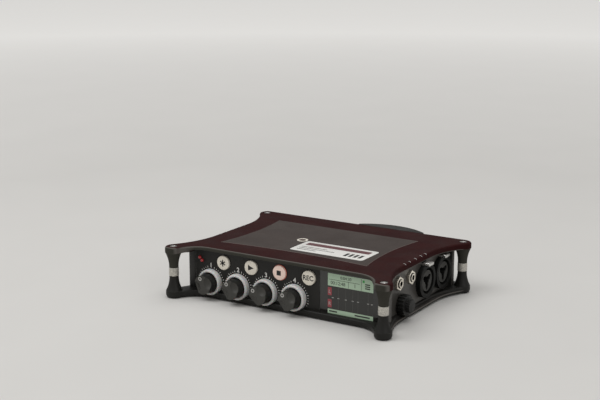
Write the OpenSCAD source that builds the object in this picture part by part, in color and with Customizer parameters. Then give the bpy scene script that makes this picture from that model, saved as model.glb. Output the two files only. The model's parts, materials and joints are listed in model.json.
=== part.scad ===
// Portable field recorder: two moulded covers with corner posts close a box of flat panels.
// Four channel knobs, four keys and a display sit in the recessed front, combined sockets sit in
// both sides, and a sled with four cells plugs into the rear.
// Millimetres. X runs right along the front, Y runs back and Z is up. The origin lies on the
// resting plane, under the middle of the whole outline with the sled fitted.

/* [Case] */
// Distance between the corner posts across the front
post_pitch_x = 168; // [162:1:180]
// Distance between the corner posts from front to back
post_pitch_y = 119.6; // [116:0.2:130]
// Diameter of a post where it flares into a cover
post_flare_d = 12; // [11:0.5:14]
// Diameter of a post at its neck
post_neck_d = 6.6; // [6:0.1:8]
// Diameter of the metal sleeve between the two halves of a post
sleeve_d = 7; // [6.4:0.1:9]
// Height of the metal sleeve
sleeve_h = 6; // [4:0.5:9]
// How far the posts stand below the bottom cover as feet
foot_h = 0.6; // [0.4:0.1:1.4]
// Height of the rim around each cover
rim_h = 4.5; // [4:0.1:5]
// Height of the top cover's rim where it thins over the front panel
lip_h = 2.6; // [2.4:0.1:3.2]
// Thickness of each cover inside its rim
cover_skin = 2.4; // [2:0.1:3]
// Radius of the rounded outer edge of a cover
edge_round = 1.6; // [1.2:0.1:2.6]
// How far the covers' front edge lies behind the front of the posts
front_recess = 15.3; // [13:0.1:17]
// How far the top cover's side edges lie inside the outside of the posts
side_recess = 13; // [11:0.1:14]
// Radius of the curve from the front edge out to a post
front_curve_r = 20; // [14:1:26]
// Radius of the curve from a side edge out to a post
side_curve_r = 60; // [40:1:80]

/* [Panels] */
// Setback of the front panel's face behind the covers' front edge
panel_setback = 3.5; // [2.5:0.1:4.5]
// Setback of the side panels' faces inside the top cover's side edges
side_setback = 1.5; // [1:0.1:2]
// How far the bottom cover's side edges stand out past the top cover's
side_ledge = 3; // [2.4:0.1:3.8]
// Height of that ledge's upright edge above its rounding
ledge_edge_h = 0.7; // [0.4:0.1:1.4]
// Setback of the rear panel's face in front of the covers' rear edge
rear_setback = 8; // [6.5:0.1:9]
// Thickness of the front panel and the display's cover glass
panel_t = 2.5; // [2:0.1:3]
// Thickness of the side and rear panels
wall_t = 1.5; // [1.2:0.1:1.8]
// Gap where two fixed pieces lie side by side
seam = 0.1; // [0.05:0.01:0.2]
// Gap around a piece that moves in an opening
slip = 0.25; // [0.2:0.01:0.35]
// Radial running clearance of a shaft in its bushing
shaft_gap = 0.05; // [0.02:0.01:0.1]

/* [Channel controls] */
// Distance between channel knobs
knob_pitch = 23.27; // [22.5:0.01:23.6]
// First knob's distance from the left end of the front panel
knob_inset = 13.1; // [12.5:0.1:14]
// Height of the knobs' axes above the bottom cover's rim
knob_rise = 6.5; // [6:0.1:7.5]
// Knob diameter
knob_d = 13.5; // [12:0.1:14]
// Knob length from back to face
knob_len = 10.1; // [9:0.1:13]
// Gap between a knob's back and the front panel
knob_gap = 0.9; // [0.8:0.1:1.4]
// Width of the grip bar left between a knob's two finger scoops
knob_bar_w = 3.4; // [2.8:0.1:4.2]
// Radius of the finger scoops
scoop_r = 6; // [5.4:0.1:6.8]
// Depth of the finger scoops
scoop_depth = 2; // [1.6:0.1:2.4]
// Turn of each knob's mark to the left of twelve o'clock
knob_marks = [22, 32, 50, 38]; // [0:1:90]
// Outer diameter of a light ring around a knob
ring_d = 18.9; // [17.6:0.1:19.4]
// Height of a light ring above the front panel
ring_h = 3.8; // [2:0.1:4.2]
// Diameter of every control shaft
shaft_d = 6; // [5:0.1:6.4]
// Travel of a pressed knob
push_travel = 0.5; // [0.3:0.1:0.6]

/* [Keys] */
// Diameter of a key
key_d = 10.2; // [9.4:0.1:11.6]
// Last key's distance from the right end of the front panel
key_inset = 8.3; // [7.5:0.1:10]
// Distance between keys
key_pitch = 23.4; // [21:0.05:26]
// Distance of the keys' axes below the top cover's rim
key_drop = 5.9; // [5.6:0.1:6.6]
// Height of a key's face above the front panel
key_h = 1.3; // [1:0.1:1.8]
// Travel of a pressed key
key_travel = 0.6; // [0.4:0.1:0.8]
// Diameter of a status light
led_d = 2.4; // [1.8:0.1:2.6]
// First status light's distance from the left end of the front panel
led_inset = 3.5; // [3.2:0.1:4]
// Step to the second status light, to the right and down
led_step = 2; // [1.9:0.1:2.4]

/* [Display] */
// Width of the display's cover glass
glass_w = 44.9; // [42:0.1:46]
// Width of the lit area
lit_w = 34.4; // [30:0.1:35]
// Lit area's distance from the right end of the glass
lit_inset = 4.3; // [3:0.1:6]
// Thickness of the display module behind the glass
lcd_t = 3.2; // [2.5:0.1:4]

/* [Sockets] */
// Outer diameter of a combined socket's flange
combo_d = 24; // [22.6:0.1:24.6]
// Distance between the two combined sockets on a side
combo_pitch = 25.8; // [25.2:0.1:27]
// Rear socket's distance in front of the rear panel's face
combo_inset = 17.6; // [16.8:0.1:20]
// Height of a flange above the side panel
combo_h = 3.5; // [3:0.1:4]
// Depth of a socket's barrel behind the side panel
combo_depth = 23; // [20:0.5:25]
// Diameter of a socket's open bore
combo_bore_d = 18.2; // [17.6:0.1:18.6]
// Depth of the bore's face below the flange
combo_face_depth = 0.8; // [0.5:0.1:1.4]
// Diameter of the phone plug's bore in a combined socket
plug_bore_d = 6.5; // [6.4:0.05:6.7]
// Depth of that bore
plug_bore_l = 16; // [14:0.5:18]
// Width of a socket's release tab
tab_w = 7; // [5:0.1:8]
// Thickness of a release tab
tab_t = 2.2; // [1.6:0.1:2.4]
// Travel of a release tab
tab_travel = 1; // [0.6:0.1:1.2]
// Front small jack's distance behind the front panel's face
jack_inset = 23; // [22:0.1:24]
// Distance between the two small jacks
jack_pitch = 17.5; // [16:0.1:18.5]
// Distance of the small jacks' axes below the top cover's rim
jack_drop = 7; // [6.2:0.1:7.6]
// Bore diameter of a small jack
jack_bore_d = 3.6; // [3.5:0.05:3.7]
// Diameter of a small jack's threaded neck
jack_neck_d = 6; // [5.6:0.1:6.4]
// Nut size across its flats
nut_af = 8.6; // [8:0.1:10]
// Nut thickness
nut_h = 2; // [1.6:0.1:2.4]

/* [Headphone control] */
// Headphone knob's distance behind the front panel's face
phones_inset = 27; // [25:0.1:29]
// Height of the headphone knob's axis above the bottom cover's rim
phones_rise = 5.5; // [5:0.1:6]
// Diameter of the ribbed base of the headphone knob
phones_d = 15; // [13:0.1:15.6]
// Diameter of the narrower front of the headphone knob
phones_front_d = 9.4; // [9:0.1:10.5]
// Length of the base of the headphone knob
phones_base_l = 4.8; // [4:0.1:5.2]
// Length of the narrower front of the headphone knob
phones_front_l = 3; // [2.6:0.1:3.6]
// Number of ribs around the headphone knob
phones_ribs = 18; // [12:1:24]

/* [Left side] */
// Gap between the front board and the first data port
port_gap = 1; // [0.6:0.1:1.6]
// Distance between data ports
port_pitch = 12.4; // [12.2:0.1:12.8]
// Height of the data ports above the bottom cover's rim
port_rise = 7; // [6:0.1:8]
// Middle of the power slider's slot behind the front panel's face
slider_inset = 22; // [20:0.5:24]
// Distance of the power slider below the top cover's rim
slider_drop = 7; // [6:0.1:8]
// Length of the power slider's slot
slider_slot_l = 14; // [12:0.1:16]
// Length of the power slider
slider_l = 7; // [6:0.1:8]

/* [Battery sled] */
// How far the sled stands out behind the corner posts
sled_overhang = 11.2; // [9:0.1:14]
// Gap between the sled's bay and the sockets' barrels beside it
sled_gap = 2.1; // [1:0.1:4]
// Diameter of a cell
cell_d = 14.5; // [13.5:0.1:15]
// Length of a cell with its end cap
cell_l = 50.5; // [44:0.1:52]
// Wall of the sled around the cells
sled_wall = 1.2; // [1:0.1:1.6]
// Distance of the cells inside the sled's rear end
sled_cap = 10; // [9.4:0.1:12]
// Thickness of the contact plates at the cells' ends
contact_t = 0.4; // [0.3:0.05:0.6]
// Spare height above the sled inside the case
headroom = 0; // [0:0.2:4]
// Travel of the sled's latch button
latch_travel = 1; // [0.6:0.1:1.2]

/* [Memory card] */
// Memory card width
card_w = 24; // [22:0.1:24]
// Memory card length
card_l = 32; // [28:0.1:32]
// Memory card thickness
card_t = 2.1; // [1.6:0.1:2.4]
// How far a stored card stands out of the rear panel
card_proud = 1; // [0.5:0.1:2]

/* [Top] */
// Width of the grip pad between its front corners
pad_w = 119; // [100:1:124]
// Depth of the grip pad
pad_l = 76.5; // [60:0.5:80]
// Thickness of the grip pad
pad_t = 0.9; // [0.6:0.1:1.2]
// Inward bow of the pad's front and side edges
pad_bow = 4; // [2:0.1:6]
// Pad's shift to the left of the case's middle
pad_x = 2.5; // [0:0.1:4]
// Pad's shift behind the case's middle
pad_y = 4.8; // [3:0.1:6]
// Width of the asset label on the pad
label_w = 58; // [40:1:64]
// Depth of the asset label
label_l = 25.5; // [15:0.5:30]
// Radius of the tapped hole of the quarter inch stand thread in each cover
thread_r = 2.55; // [2.4:0.05:3]
// Outer diameter of a thread insert
insert_d = 8.4; // [8:0.1:9.6]
// Length of a thread insert
insert_l = 7; // [6:0.1:7.4]
// Top insert's distance left of the case's middle
insert_x = 15.3; // [0:0.1:20]
// Top insert's distance behind the case's middle
insert_y = 2.2; // [0:0.1:8]
// Asset label's middle, right of the case's middle
label_x = 19.4; // [10:0.1:22]
// Asset label's middle, in front of the case's middle
label_front = 12; // [8:0.1:14]
// Thickness of the asset label
label_t = 0.25; // [0.1:0.05:0.4]

/* [Screws and boards] */
// Diameter of a corner screw's shank
screw_d = 3; // [2.5:0.1:3.2]
// Diameter of a corner screw's head
screw_head_d = 5; // [4.6:0.1:5.4]
// Height of a corner screw's head
screw_head_h = 1.6; // [1.2:0.1:2]
// Thickness of the circuit boards
board_t = 1.6; // [1.2:0.1:2]
// Height of the posts under the main board
standoff_h = 6; // [5:0.1:7]

/* [Hidden] */
$fn = 48;
eps = 0.01;

// Sled height around two layers of cells, which sets the height of the case
sled_h = 2 * cell_d + 3 * seam + 2 * sled_wall;
case_h = foot_h + 2 * cover_skin + sled_h + 2 * slip + headroom;

// Half pitches and the middle of the case, which the sled's overhang moves forward
px = post_pitch_x / 2;
py = post_pitch_y / 2;
flare_r = post_flare_d / 2;
case_y = -sled_overhang / 2;
mid_z = case_h / 2;

// Edges of the covers and faces of the panels, from the middle of the case
front_edge = -py - flare_r + front_recess;
side_edge = px + flare_r - side_recess;
rear_edge = py + flare_r;
front_y = front_edge + panel_setback;
side_x = side_edge - side_setback;
rear_y = rear_edge - rear_setback;
floor_z = foot_h + cover_skin;
roof_z = case_h - cover_skin;
low_rim = foot_h + rim_h;
high_rim = case_h - rim_h;
panel_back = front_y + panel_t;
panel_left = -side_x + wall_t + seam;
glass_right = -panel_left;
glass_left = glass_right - glass_w;
panel_right = glass_left - seam;
half_post_h = high_rim - mid_z - sleeve_h / 2;
low_post_h = mid_z - sleeve_h / 2 - low_rim;
screw_floor = 2;
screw_tip = foot_h + screw_floor;
head_drop = 0.4;
post_step = 0.4;
waist_power = 2.2;
label_r = 2;
label_y = -label_front;
insert_flange = 3;
insert_flange_t = 1.2;
insert_floor = 0.6;

// Ends of the thin front rim beside the posts
lip_end = 6;
lip_x = px - flare_r - lip_end;
lip_rise = rim_h - lip_h;

// Front and rear cheeks of the side panels
cheek_w = 4.5;
cheek_l = 6;
rear_cheek_w = 3;
rear_cheek_l = 4;

// Channel controls
knob_z = low_rim + knob_rise;
knob_back = front_y - knob_gap;
knob_face = knob_back - knob_len;
knob_cap = 3.5;
knob_bore = knob_face + knob_cap;
scoop_out = scoop_r - scoop_depth;
scoop_x = knob_bar_w / 2 + sqrt(scoop_r * scoop_r - scoop_out * scoop_out);
pot_w = 12;
pot_l = 6.5;
bushing_wall = 1;
bushing_d = shaft_d + 2 * bushing_wall;
board_y = panel_back + pot_l;
plunger_l = 2;
plunger_d = shaft_d - 2 * slip;
shaft_end = board_y - plunger_l - 2 * seam;

// Keys and lights
key_z = high_rim - key_drop;
key_stem_d = 4;
switch_w = 6;
switch_h = 3.4;
light_rise = 1;
light_z = key_z + light_rise;
light_h = 0.6;
lcd_edge = 2;

// Sockets
flange_step = 1.1;
barrel_d = combo_d - 2 * flange_step;
combo_floor = 2;
combo_base = 4;
plug_ring = 1.7;
core_d = combo_bore_d - 2 * plug_ring;
combo_face = side_x + combo_h - combo_face_depth;
combo_bottom = side_x - combo_depth + combo_floor;
combo_ys = [rear_y - combo_inset - combo_pitch, rear_y - combo_inset];
pin_d = 2.6;
pin_r = (plug_bore_d + core_d) / 4;
pin_l = 10;
tab_gap = 1;
tab_z = high_rim - tab_gap - tab_t / 2;
tab_out = 2.6;
tab_in = 3;

// Small jacks and the headphone control
jack_z = high_rim - jack_drop;
jack_w = 9;
jack_l = 12;
neck_out = 0.6;
jack_out = nut_h + neck_out;
jack_ys = [front_y + jack_inset, front_y + jack_inset + jack_pitch];
phones_z = low_rim + phones_rise;
phones_y = front_y + phones_inset;
phones_gap = 0.5;
phones_back = side_x + push_travel + phones_gap;
phones_cap = 1.5;
phones_bore_l = phones_base_l + phones_front_l - phones_cap;
encoder_w = 12;
encoder_l = 7;
encoder_back = side_x - wall_t - encoder_l;
phones_end = encoder_back + plunger_l + 2 * seam;
rib_d = 1.2;

// Data ports and the power slider
port_z = low_rim + port_rise;
port_sizes = [[13.1, 5.7], [9, 3.3], [6.5, 3]];
port_y = board_y + board_t + port_gap + port_sizes[0][0] / 2;
port_l = 10;
port_shell = 0.5;
slider_y = front_y + slider_inset;
slider_z = high_rim - slider_drop;
slider_h = 4;
slider_out = 1.5;
slider_in = 2;
slider_body_t = 4;
slider_frame = 1.5;
slider_ends = 2;

// Battery sled and its bay
sled_in_w = cell_l + 2 * contact_t + 2 * seam;
sled_w = sled_in_w + 2 * sled_wall;
sled_x = side_x - combo_depth - sled_gap - wall_t - slip - sled_w / 2;
sled_low = floor_z + slip;
sled_back = rear_edge + sled_overhang;
tray_back = max(sled_back - sled_cap, rear_edge + slip + 1);
sled_front = sled_back - sled_cap - 2 * cell_d - 3 * seam - sled_wall;
bay_left = sled_x - sled_w / 2 - slip;
bay_right = sled_x + sled_w / 2 + slip;
bay_front = sled_front - slip;
latch_w = 14;
latch_h = 7;
latch_t = 2;
grip_end = 2;
grip_drop = 0.5;
grip_bow = sled_overhang - slip - grip_end;
grip_r = (pow(sled_w / 2, 2) + pow(grip_bow, 2)) / (2 * grip_bow);
contact_w = 8;
cell_nub_d = 5.5;
cell_nub_l = 1;
cell_ys = [for (i = [0, 1]) sled_back - sled_cap - (i + 0.5) * cell_d - (i + 1) * seam];
cell_zs = [for (i = [0, 1]) sled_low + sled_wall + (i + 0.5) * cell_d + (i + 1) * seam];

// Memory card and the main board
main_z = floor_z + standoff_h;
board_room = 4;
board_gap = 2;
main_w = 2 * (side_x - combo_depth - board_room);
main_front = board_y + board_t + board_room;
main_l = bay_front - wall_t - board_gap - main_front;
board_inset = 5;
board_post_d = 6;
board_screw_d = 2.5;
board_head_d = 4.5;
board_head_h = 1.6;
socket_wall = 1.2;
card_x = (-side_x + combo_depth + bay_left - wall_t) / 2;
card_low = main_z + board_t + socket_wall + slip;
card_back = rear_y + card_proud;
card_cut = 4;
socket_front = card_back - card_l - slip - socket_wall;

// Colours as photographed
maroon_black = [0.16, 0.09, 0.09];
dark_grey = [0.17, 0.165, 0.155];
pad_grey = [0.30, 0.27, 0.26];
light_grey = [0.66, 0.65, 0.61];
black = [0.05, 0.05, 0.05];
cream = [0.82, 0.79, 0.72];
silver = [0.78, 0.77, 0.74];
brass = [0.76, 0.62, 0.33];
board_green = [0.06, 0.25, 0.14];
cell_blue = [0.20, 0.24, 0.30];

// Points along an arc
function arc(cx, cy, r, a0, a1, n) =
    [for (i = [0:n]) let (a = a0 + (a1 - a0) * i / n) [cx + r * cos(a), cy + r * sin(a)]];

// Cover outline drawn in by a margin, with its side edges at a distance from the middle:
// posts, curved sides, a curved front and a straight rear
function cover_outline(inset, side) =
    let (
        r = flare_r - inset,
        fr = front_curve_r + inset,
        sr = side_curve_r + inset,
        fy = front_edge - front_curve_r,
        fx = px - sqrt(pow(front_curve_r + flare_r, 2) - pow(fy + py, 2)),
        sx = side + side_curve_r,
        sy = py - sqrt(pow(side_curve_r + flare_r, 2) - pow(sx - px, 2)),
        fa = atan2(-py - fy, px - fx),
        sa = atan2(py - sy, sx - px),
        post_n = 12,
        curve_n = 8
    )
    concat(
        arc(px, -py, r, 180 + fa, 360 + sa, post_n),
        arc(sx, -sy, sr, 180 + sa, 180, curve_n),
        arc(sx, sy, sr, 180, 180 - sa, curve_n),
        arc(px, py, r, -sa, 90, post_n),
        arc(-px, py, r, 90, 180 + sa, post_n),
        arc(-sx, sy, sr, sa, 0, curve_n),
        arc(-sx, -sy, sr, 0, -sa, curve_n),
        arc(-px, -py, r, 180 - sa, 360 - fa, post_n),
        arc(-fx, fy, fr, 180 - fa, 90, curve_n),
        arc(fx, fy, fr, 90, fa, curve_n)
    );

// Everything is drawn from the middle of the case
module in_case() {
    translate([0, case_y, 0]) children();
}

module at_posts() {
    for (x = [-px, px], y = [-py, py]) translate([x, y, 0]) children();
}

// A disc along Y to the rear
module along_y(x, y, z, d, l) {
    translate([x, y, z]) rotate([-90, 0, 0]) cylinder(d = d, h = l);
}

// A disc along X to the right
module along_x(x, y, z, d, l) {
    translate([x, y, z]) rotate([0, 90, 0]) cylinder(d = d, h = l);
}

// A block between two corners
module block(low, high) {
    translate(low) cube(high - low);
}

// A flat plate with rounded corners
module rounded_plate(w, l, h, r) {
    for (x = [r, w - r], y = [r, l - r]) translate([x, y, 0]) cylinder(r = r, h = h);
    translate([r, 0, 0]) cube([w - 2 * r, l, h]);
    translate([0, r, 0]) cube([w, l - 2 * r, h]);
}

// Covers

// One cover with its rounded edge above an upright edge, the rounding built of three steps
module cover_plate(side, upright) {
    step_a = 30;
    linear_extrude(upright) polygon(cover_outline(0, side));
    for (a = [0:step_a:60]) {
        translate([0, 0, upright + edge_round * sin(a)])
            linear_extrude(edge_round * (sin(a + step_a) - sin(a)))
                polygon(cover_outline(edge_round * (1 - cos(a + step_a / 2)), side));
    }
}

// Half a post from its cover's rim to the sleeve, as a waisted turning
module half_post(h) {
    neck_r = post_neck_d / 2;
    root_r = flare_r - post_step;
    steps = 6;
    rotate_extrude() polygon(concat(
        [[0, 0], [0, h]],
        [for (i = [steps:-1:0]) let (t = i / steps)
            [neck_r + (root_r - neck_r) * pow(1 - t, waist_power), h * t]]
    ));
}

module pad_outline(margin) {
    w = pad_w / 2 + margin;
    l = pad_l / 2 + margin;
    bow_n = 10;
    translate([-pad_x, pad_y]) polygon(concat(
        [for (i = [0:bow_n]) let (t = 2 * i / bow_n - 1)
            [w * t, -l + pad_bow * (1 - t * t)]],
        [for (i = [1:bow_n]) let (t = 2 * i / bow_n - 1)
            [w - pad_bow * (1 - t * t), l * t]],
        [for (i = [0:bow_n - 1]) let (t = 1 - 2 * i / bow_n)
            [-w + pad_bow * (1 - t * t), l * t]]
    ));
}

// The space under the thin front rim, with rounded ends
module lip_space() {
    block([-lip_x, front_edge - front_recess, high_rim - eps], [lip_x, front_y, high_rim + lip_rise]);
    for (x = [-lip_x, lip_x])
        along_y(x, front_edge - front_recess, high_rim, 2 * lip_rise, front_recess + panel_setback);
}

module top_cover() color(maroon_black) in_case() difference() {
    union() {
        translate([0, 0, high_rim]) cover_plate(side_edge, rim_h - edge_round);
        at_posts() translate([0, 0, high_rim]) mirror([0, 0, 1]) half_post(half_post_h);
    }
    lip_space();
    block([-side_x - seam, front_y - seam, high_rim - eps], [side_x + seam, rear_y + seam, roof_z]);
    block([sled_x - sled_w / 2 - slip, rear_y, high_rim - eps],
        [sled_x + sled_w / 2 + slip, rear_edge + 1, roof_z]);
    translate([0, 0, case_h - pad_t]) linear_extrude(pad_t + 1) pad_outline(seam);
    translate([-insert_x, insert_y, roof_z - 1]) cylinder(d = insert_d, h = cover_skin + 2);
    at_posts() {
        translate([0, 0, mid_z]) cylinder(d = screw_d + 2 * seam, h = mid_z + 1);
        translate([0, 0, case_h - screw_head_h - head_drop])
            cylinder(d = screw_head_d + 4 * seam, h = screw_head_h + 1);
    }
}

module bottom_cover() color(dark_grey) in_case() difference() {
    union() {
        translate([0, 0, low_rim]) mirror([0, 0, 1]) cover_plate(side_edge, rim_h - edge_round);
        translate([0, 0, foot_h + edge_round + ledge_edge_h]) mirror([0, 0, 1])
            cover_plate(side_edge + side_ledge, ledge_edge_h);
        at_posts() {
            translate([0, 0, low_rim]) half_post(low_post_h);
            cylinder(r = flare_r - edge_round / 3, h = rim_h);
        }
    }
    block([-side_x - seam, front_y - seam, floor_z], [side_x + seam, rear_y + seam, low_rim + eps]);
    block([sled_x - sled_w / 2 - slip, rear_y, floor_z],
        [sled_x + sled_w / 2 + slip, rear_edge + 1, low_rim + eps]);
    translate([0, 0, foot_h - 1]) cylinder(d = insert_d, h = cover_skin + 2);
    at_knobs() along_y(0, front_edge - 1, 0, ring_d + 2 * slip, panel_setback + 1 + seam);
    along_x(side_x, phones_y, phones_z, phones_d + 4 * slip, side_setback + side_ledge + 1);
    at_posts() translate([0, 0, screw_tip - 2 * seam]) cylinder(d = screw_d + 2 * seam, h = mid_z);
}

module post_sleeves() color(light_grey) in_case() at_posts()
    translate([0, 0, mid_z - sleeve_h / 2]) difference() {
        cylinder(d = sleeve_d, h = sleeve_h);
        translate([0, 0, -1]) cylinder(d = screw_d + 2 * seam, h = sleeve_h + 2);
    }

module corner_screws() color(silver) in_case() at_posts() {
    head_z = case_h - screw_head_h - head_drop;
    difference() {
        translate([0, 0, head_z]) cylinder(d = screw_head_d, h = screw_head_h);
        translate([0, 0, head_z + screw_head_h / 2]) cylinder(d = screw_d, h = screw_head_h, $fn = 6);
    }
    translate([0, 0, screw_tip]) cylinder(d = screw_d, h = head_z - screw_tip + eps);
}

module grip_pad() color(pad_grey) in_case() difference() {
    translate([0, 0, case_h - pad_t]) linear_extrude(pad_t) pad_outline(0);
    translate([-insert_x, insert_y, case_h - 2 * pad_t]) cylinder(d = insert_d, h = 3 * pad_t);
}

module asset_label() color("white") in_case()
    translate([label_x - label_w / 2, label_y - label_l / 2, case_h])
        rounded_plate(label_w, label_l, label_t, label_r);

// A thread insert with its mouth at zero and its flange under the cover's skin
module thread_insert() {
    difference() {
        union() {
            cylinder(d = insert_d - 2 * seam, h = insert_l);
            translate([0, 0, cover_skin]) cylinder(d = insert_d + insert_flange, h = insert_flange_t);
        }
        translate([0, 0, -1]) cylinder(r = thread_r, h = insert_l - insert_floor + 1);
    }
}

module top_thread_insert() color(silver) in_case()
    translate([-insert_x, insert_y, case_h]) mirror([0, 0, 1]) thread_insert();

module bottom_thread_insert() color(silver) in_case()
    translate([0, 0, foot_h]) thread_insert();

// Front panel and channel controls

module at_knobs() {
    for (i = [0:3]) translate([panel_left + knob_inset + i * knob_pitch, 0, knob_z]) children();
}

module at_knob(i) {
    translate([panel_left + knob_inset + i * knob_pitch, 0, knob_z]) children();
}

module at_key(i) {
    translate([panel_right - key_inset - (3 - i) * key_pitch, 0, key_z]) children();
}

module at_lights() {
    for (i = [0, 1])
        translate([panel_left + led_inset + i * led_step, 0, light_z - i * led_step]) children();
}

module front_panel() color(dark_grey) in_case() difference() {
    block([panel_left, front_y, floor_z], [panel_right, panel_back, roof_z]);
    at_knobs() along_y(0, front_y - 1, 0, bushing_d + 2 * seam, panel_t + 2);
    for (i = [0:3]) at_key(i) along_y(0, front_y - 1, 0, key_d + 2 * slip, panel_t + 2);
    at_lights() along_y(0, front_y - 1, 0, led_d + 2 * seam, panel_t + 2);
}

module light_rings() color(light_grey) in_case() at_knobs() difference() {
    along_y(0, front_y - ring_h, 0, ring_d, ring_h);
    along_y(0, front_y - ring_h - 1, 0, knob_d + 2 * slip, ring_h + 2);
}

// Knob turned so that its grip bar points at its mark
module channel_knob(i) color(black) in_case() at_knob(i) rotate([0, -knob_marks[i], 0]) difference() {
    along_y(0, knob_face, 0, knob_d, knob_len);
    for (x = [-scoop_x, scoop_x]) translate([x, knob_face - scoop_out, 0]) sphere(r = scoop_r);
    along_y(0, knob_bore, 0, shaft_d + shaft_gap, knob_len);
}

module knob_1() channel_knob(0);
module knob_2() channel_knob(1);
module knob_3() channel_knob(2);
module knob_4() channel_knob(3);

module control_shaft(i) color(silver) in_case() at_knob(i)
    along_y(0, knob_bore + seam, 0, shaft_d, shaft_end - knob_bore - seam);

module knob_shaft_1() control_shaft(0);
module knob_shaft_2() control_shaft(1);
module knob_shaft_3() control_shaft(2);
module knob_shaft_4() control_shaft(3);

module push_plunger(i) color(light_grey) in_case() at_knob(i)
    along_y(0, shaft_end + seam, 0, plunger_d, plunger_l);

module knob_plunger_1() push_plunger(0);
module knob_plunger_2() push_plunger(1);
module knob_plunger_3() push_plunger(2);
module knob_plunger_4() push_plunger(3);

module channel_pots() color(dark_grey) in_case() at_knobs() difference() {
    union() {
        block([-pot_w / 2, panel_back, -pot_w / 2], [pot_w / 2, board_y, pot_w / 2]);
        along_y(0, front_y, 0, bushing_d, panel_t + 1);
    }
    along_y(0, front_y - 1, 0, shaft_d + 2 * shaft_gap, pot_l + panel_t + 2);
}

// Key cap with a stem that reaches back to its switch
module front_key(i) color(cream) in_case() at_key(i) {
    cap_back = panel_back - slip;
    along_y(0, front_y - key_h, 0, key_d, cap_back - front_y + key_h);
    along_y(0, cap_back - eps, 0, key_stem_d, board_y - switch_h - key_travel - seam - cap_back + eps);
}

module key_star() front_key(0);
module key_play() front_key(1);
module key_stop() front_key(2);
module key_record() front_key(3);

module key_switches() color(black) in_case() for (i = [0:3]) at_key(i)
    block([-switch_w / 2, board_y - switch_h, -switch_w / 2], [switch_w / 2, board_y, switch_w / 2]);

module status_lights() color("red") in_case() at_lights()
    along_y(0, front_y - light_h, 0, led_d, board_y - front_y + light_h);

module front_board() color(board_green) in_case() difference() {
    block([panel_left + 1, board_y, floor_z], [panel_right - 1, board_y + board_t, roof_z]);
    at_knobs() along_y(0, board_y - 1, 0, plunger_d + 2 * slip, board_t + 2);
}

module display_glass() color(black) in_case()
    block([glass_left, front_y, floor_z], [glass_right, panel_back, roof_z]);

module display_module() color([0.55, 0.66, 0.55]) in_case()
    block([glass_right - lit_inset - lit_w - lcd_edge, panel_back, low_rim - lcd_edge / 2],
        [glass_right - lit_inset + lcd_edge, panel_back + lcd_t, high_rim + lcd_edge / 2]);

// Side panels and sockets

// The right side, or its mirror image on the left
module on_side(s) {
    if (s > 0) children();
    else mirror([1, 0, 0]) children();
}

module tab_slot(y) {
    block([side_x - tab_in - tab_travel - 2 * slip, y - tab_w / 2 - slip, tab_z - tab_t / 2 - slip],
        [side_x + combo_h + 1, y + tab_w / 2 + slip, tab_z + tab_t / 2 + slip]);
}

// Panel with its cheeks and the holes for two combined sockets
module socket_panel() {
    difference() {
        union() {
            block([side_x - wall_t, front_y, floor_z], [side_x, rear_y, roof_z]);
            block([side_x - wall_t, front_y, low_rim], [side_x + cheek_w, front_y + cheek_l, high_rim]);
            block([side_x - wall_t, rear_y - rear_cheek_l, low_rim],
                [side_x + rear_cheek_w, rear_y, high_rim]);
        }
        for (y = combo_ys) {
            along_x(side_x - wall_t - 1, y, mid_z, barrel_d + 2 * seam, wall_t + 2);
            tab_slot(y);
        }
    }
}

module right_panel() color(dark_grey) in_case() difference() {
    socket_panel();
    for (y = jack_ys) along_x(side_x - wall_t - 1, y, jack_z, jack_neck_d + 2 * seam, wall_t + 2);
    along_x(side_x - wall_t - 1, phones_y, phones_z, bushing_d + 2 * seam, wall_t + 2);
}

module left_panel() color(dark_grey) in_case() on_side(-1) difference() {
    socket_panel();
    for (i = [0:2]) port_block(i, side_x - wall_t - 1, side_x + 1, seam);
    block([side_x - wall_t - 1, slider_y - slider_slot_l / 2, slider_z - slider_h / 2 - slip],
        [side_x + 1, slider_y + slider_slot_l / 2, slider_z + slider_h / 2 + slip]);
}

module combo_shell(y) difference() {
    union() {
        along_x(side_x, y, mid_z, combo_d, combo_h);
        along_x(side_x - combo_depth, y, mid_z, barrel_d, combo_depth + eps);
    }
    along_x(combo_bottom, y, mid_z, combo_bore_d, combo_depth + combo_h);
    tab_slot(y);
}

module combo_shells() color(black) in_case() for (s = [-1, 1], y = combo_ys) on_side(s) combo_shell(y);

// Socket core with the phone plug's bore and three contact holes around it
module combo_core(y) difference() {
    union() {
        along_x(combo_bottom, y, mid_z, combo_bore_d - 2 * seam, combo_base);
        along_x(combo_bottom, y, mid_z, core_d, combo_face - combo_bottom);
    }
    along_x(combo_face - plug_bore_l, y, mid_z, plug_bore_d, plug_bore_l + 1);
    for (a = [90, 210, 330])
        along_x(combo_face - pin_l, y + pin_r * cos(a), mid_z - pin_r * sin(a), pin_d, pin_l + 1);
}

module combo_cores() color(dark_grey) in_case() for (s = [-1, 1], y = combo_ys) on_side(s) combo_core(y);

module release_tab(s, y) color(silver) in_case() on_side(s)
    block([side_x - tab_in, y - tab_w / 2, tab_z - tab_t / 2],
        [side_x + combo_h + tab_out, y + tab_w / 2, tab_z + tab_t / 2]);

module release_tab_1() release_tab(-1, combo_ys[1]);
module release_tab_2() release_tab(-1, combo_ys[0]);
module release_tab_3() release_tab(1, combo_ys[0]);
module release_tab_4() release_tab(1, combo_ys[1]);

module small_jacks() color(black) in_case() for (y = jack_ys) difference() {
    union() {
        block([side_x - wall_t - jack_l, y - jack_w / 2, jack_z - jack_w / 2],
            [side_x - wall_t, y + jack_w / 2, jack_z + jack_w / 2]);
        along_x(side_x - wall_t - 1, y, jack_z, jack_neck_d, wall_t + 1 + jack_out);
    }
    along_x(side_x - wall_t - jack_l + 1, y, jack_z, jack_bore_d, jack_l + wall_t + jack_out);
}

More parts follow.
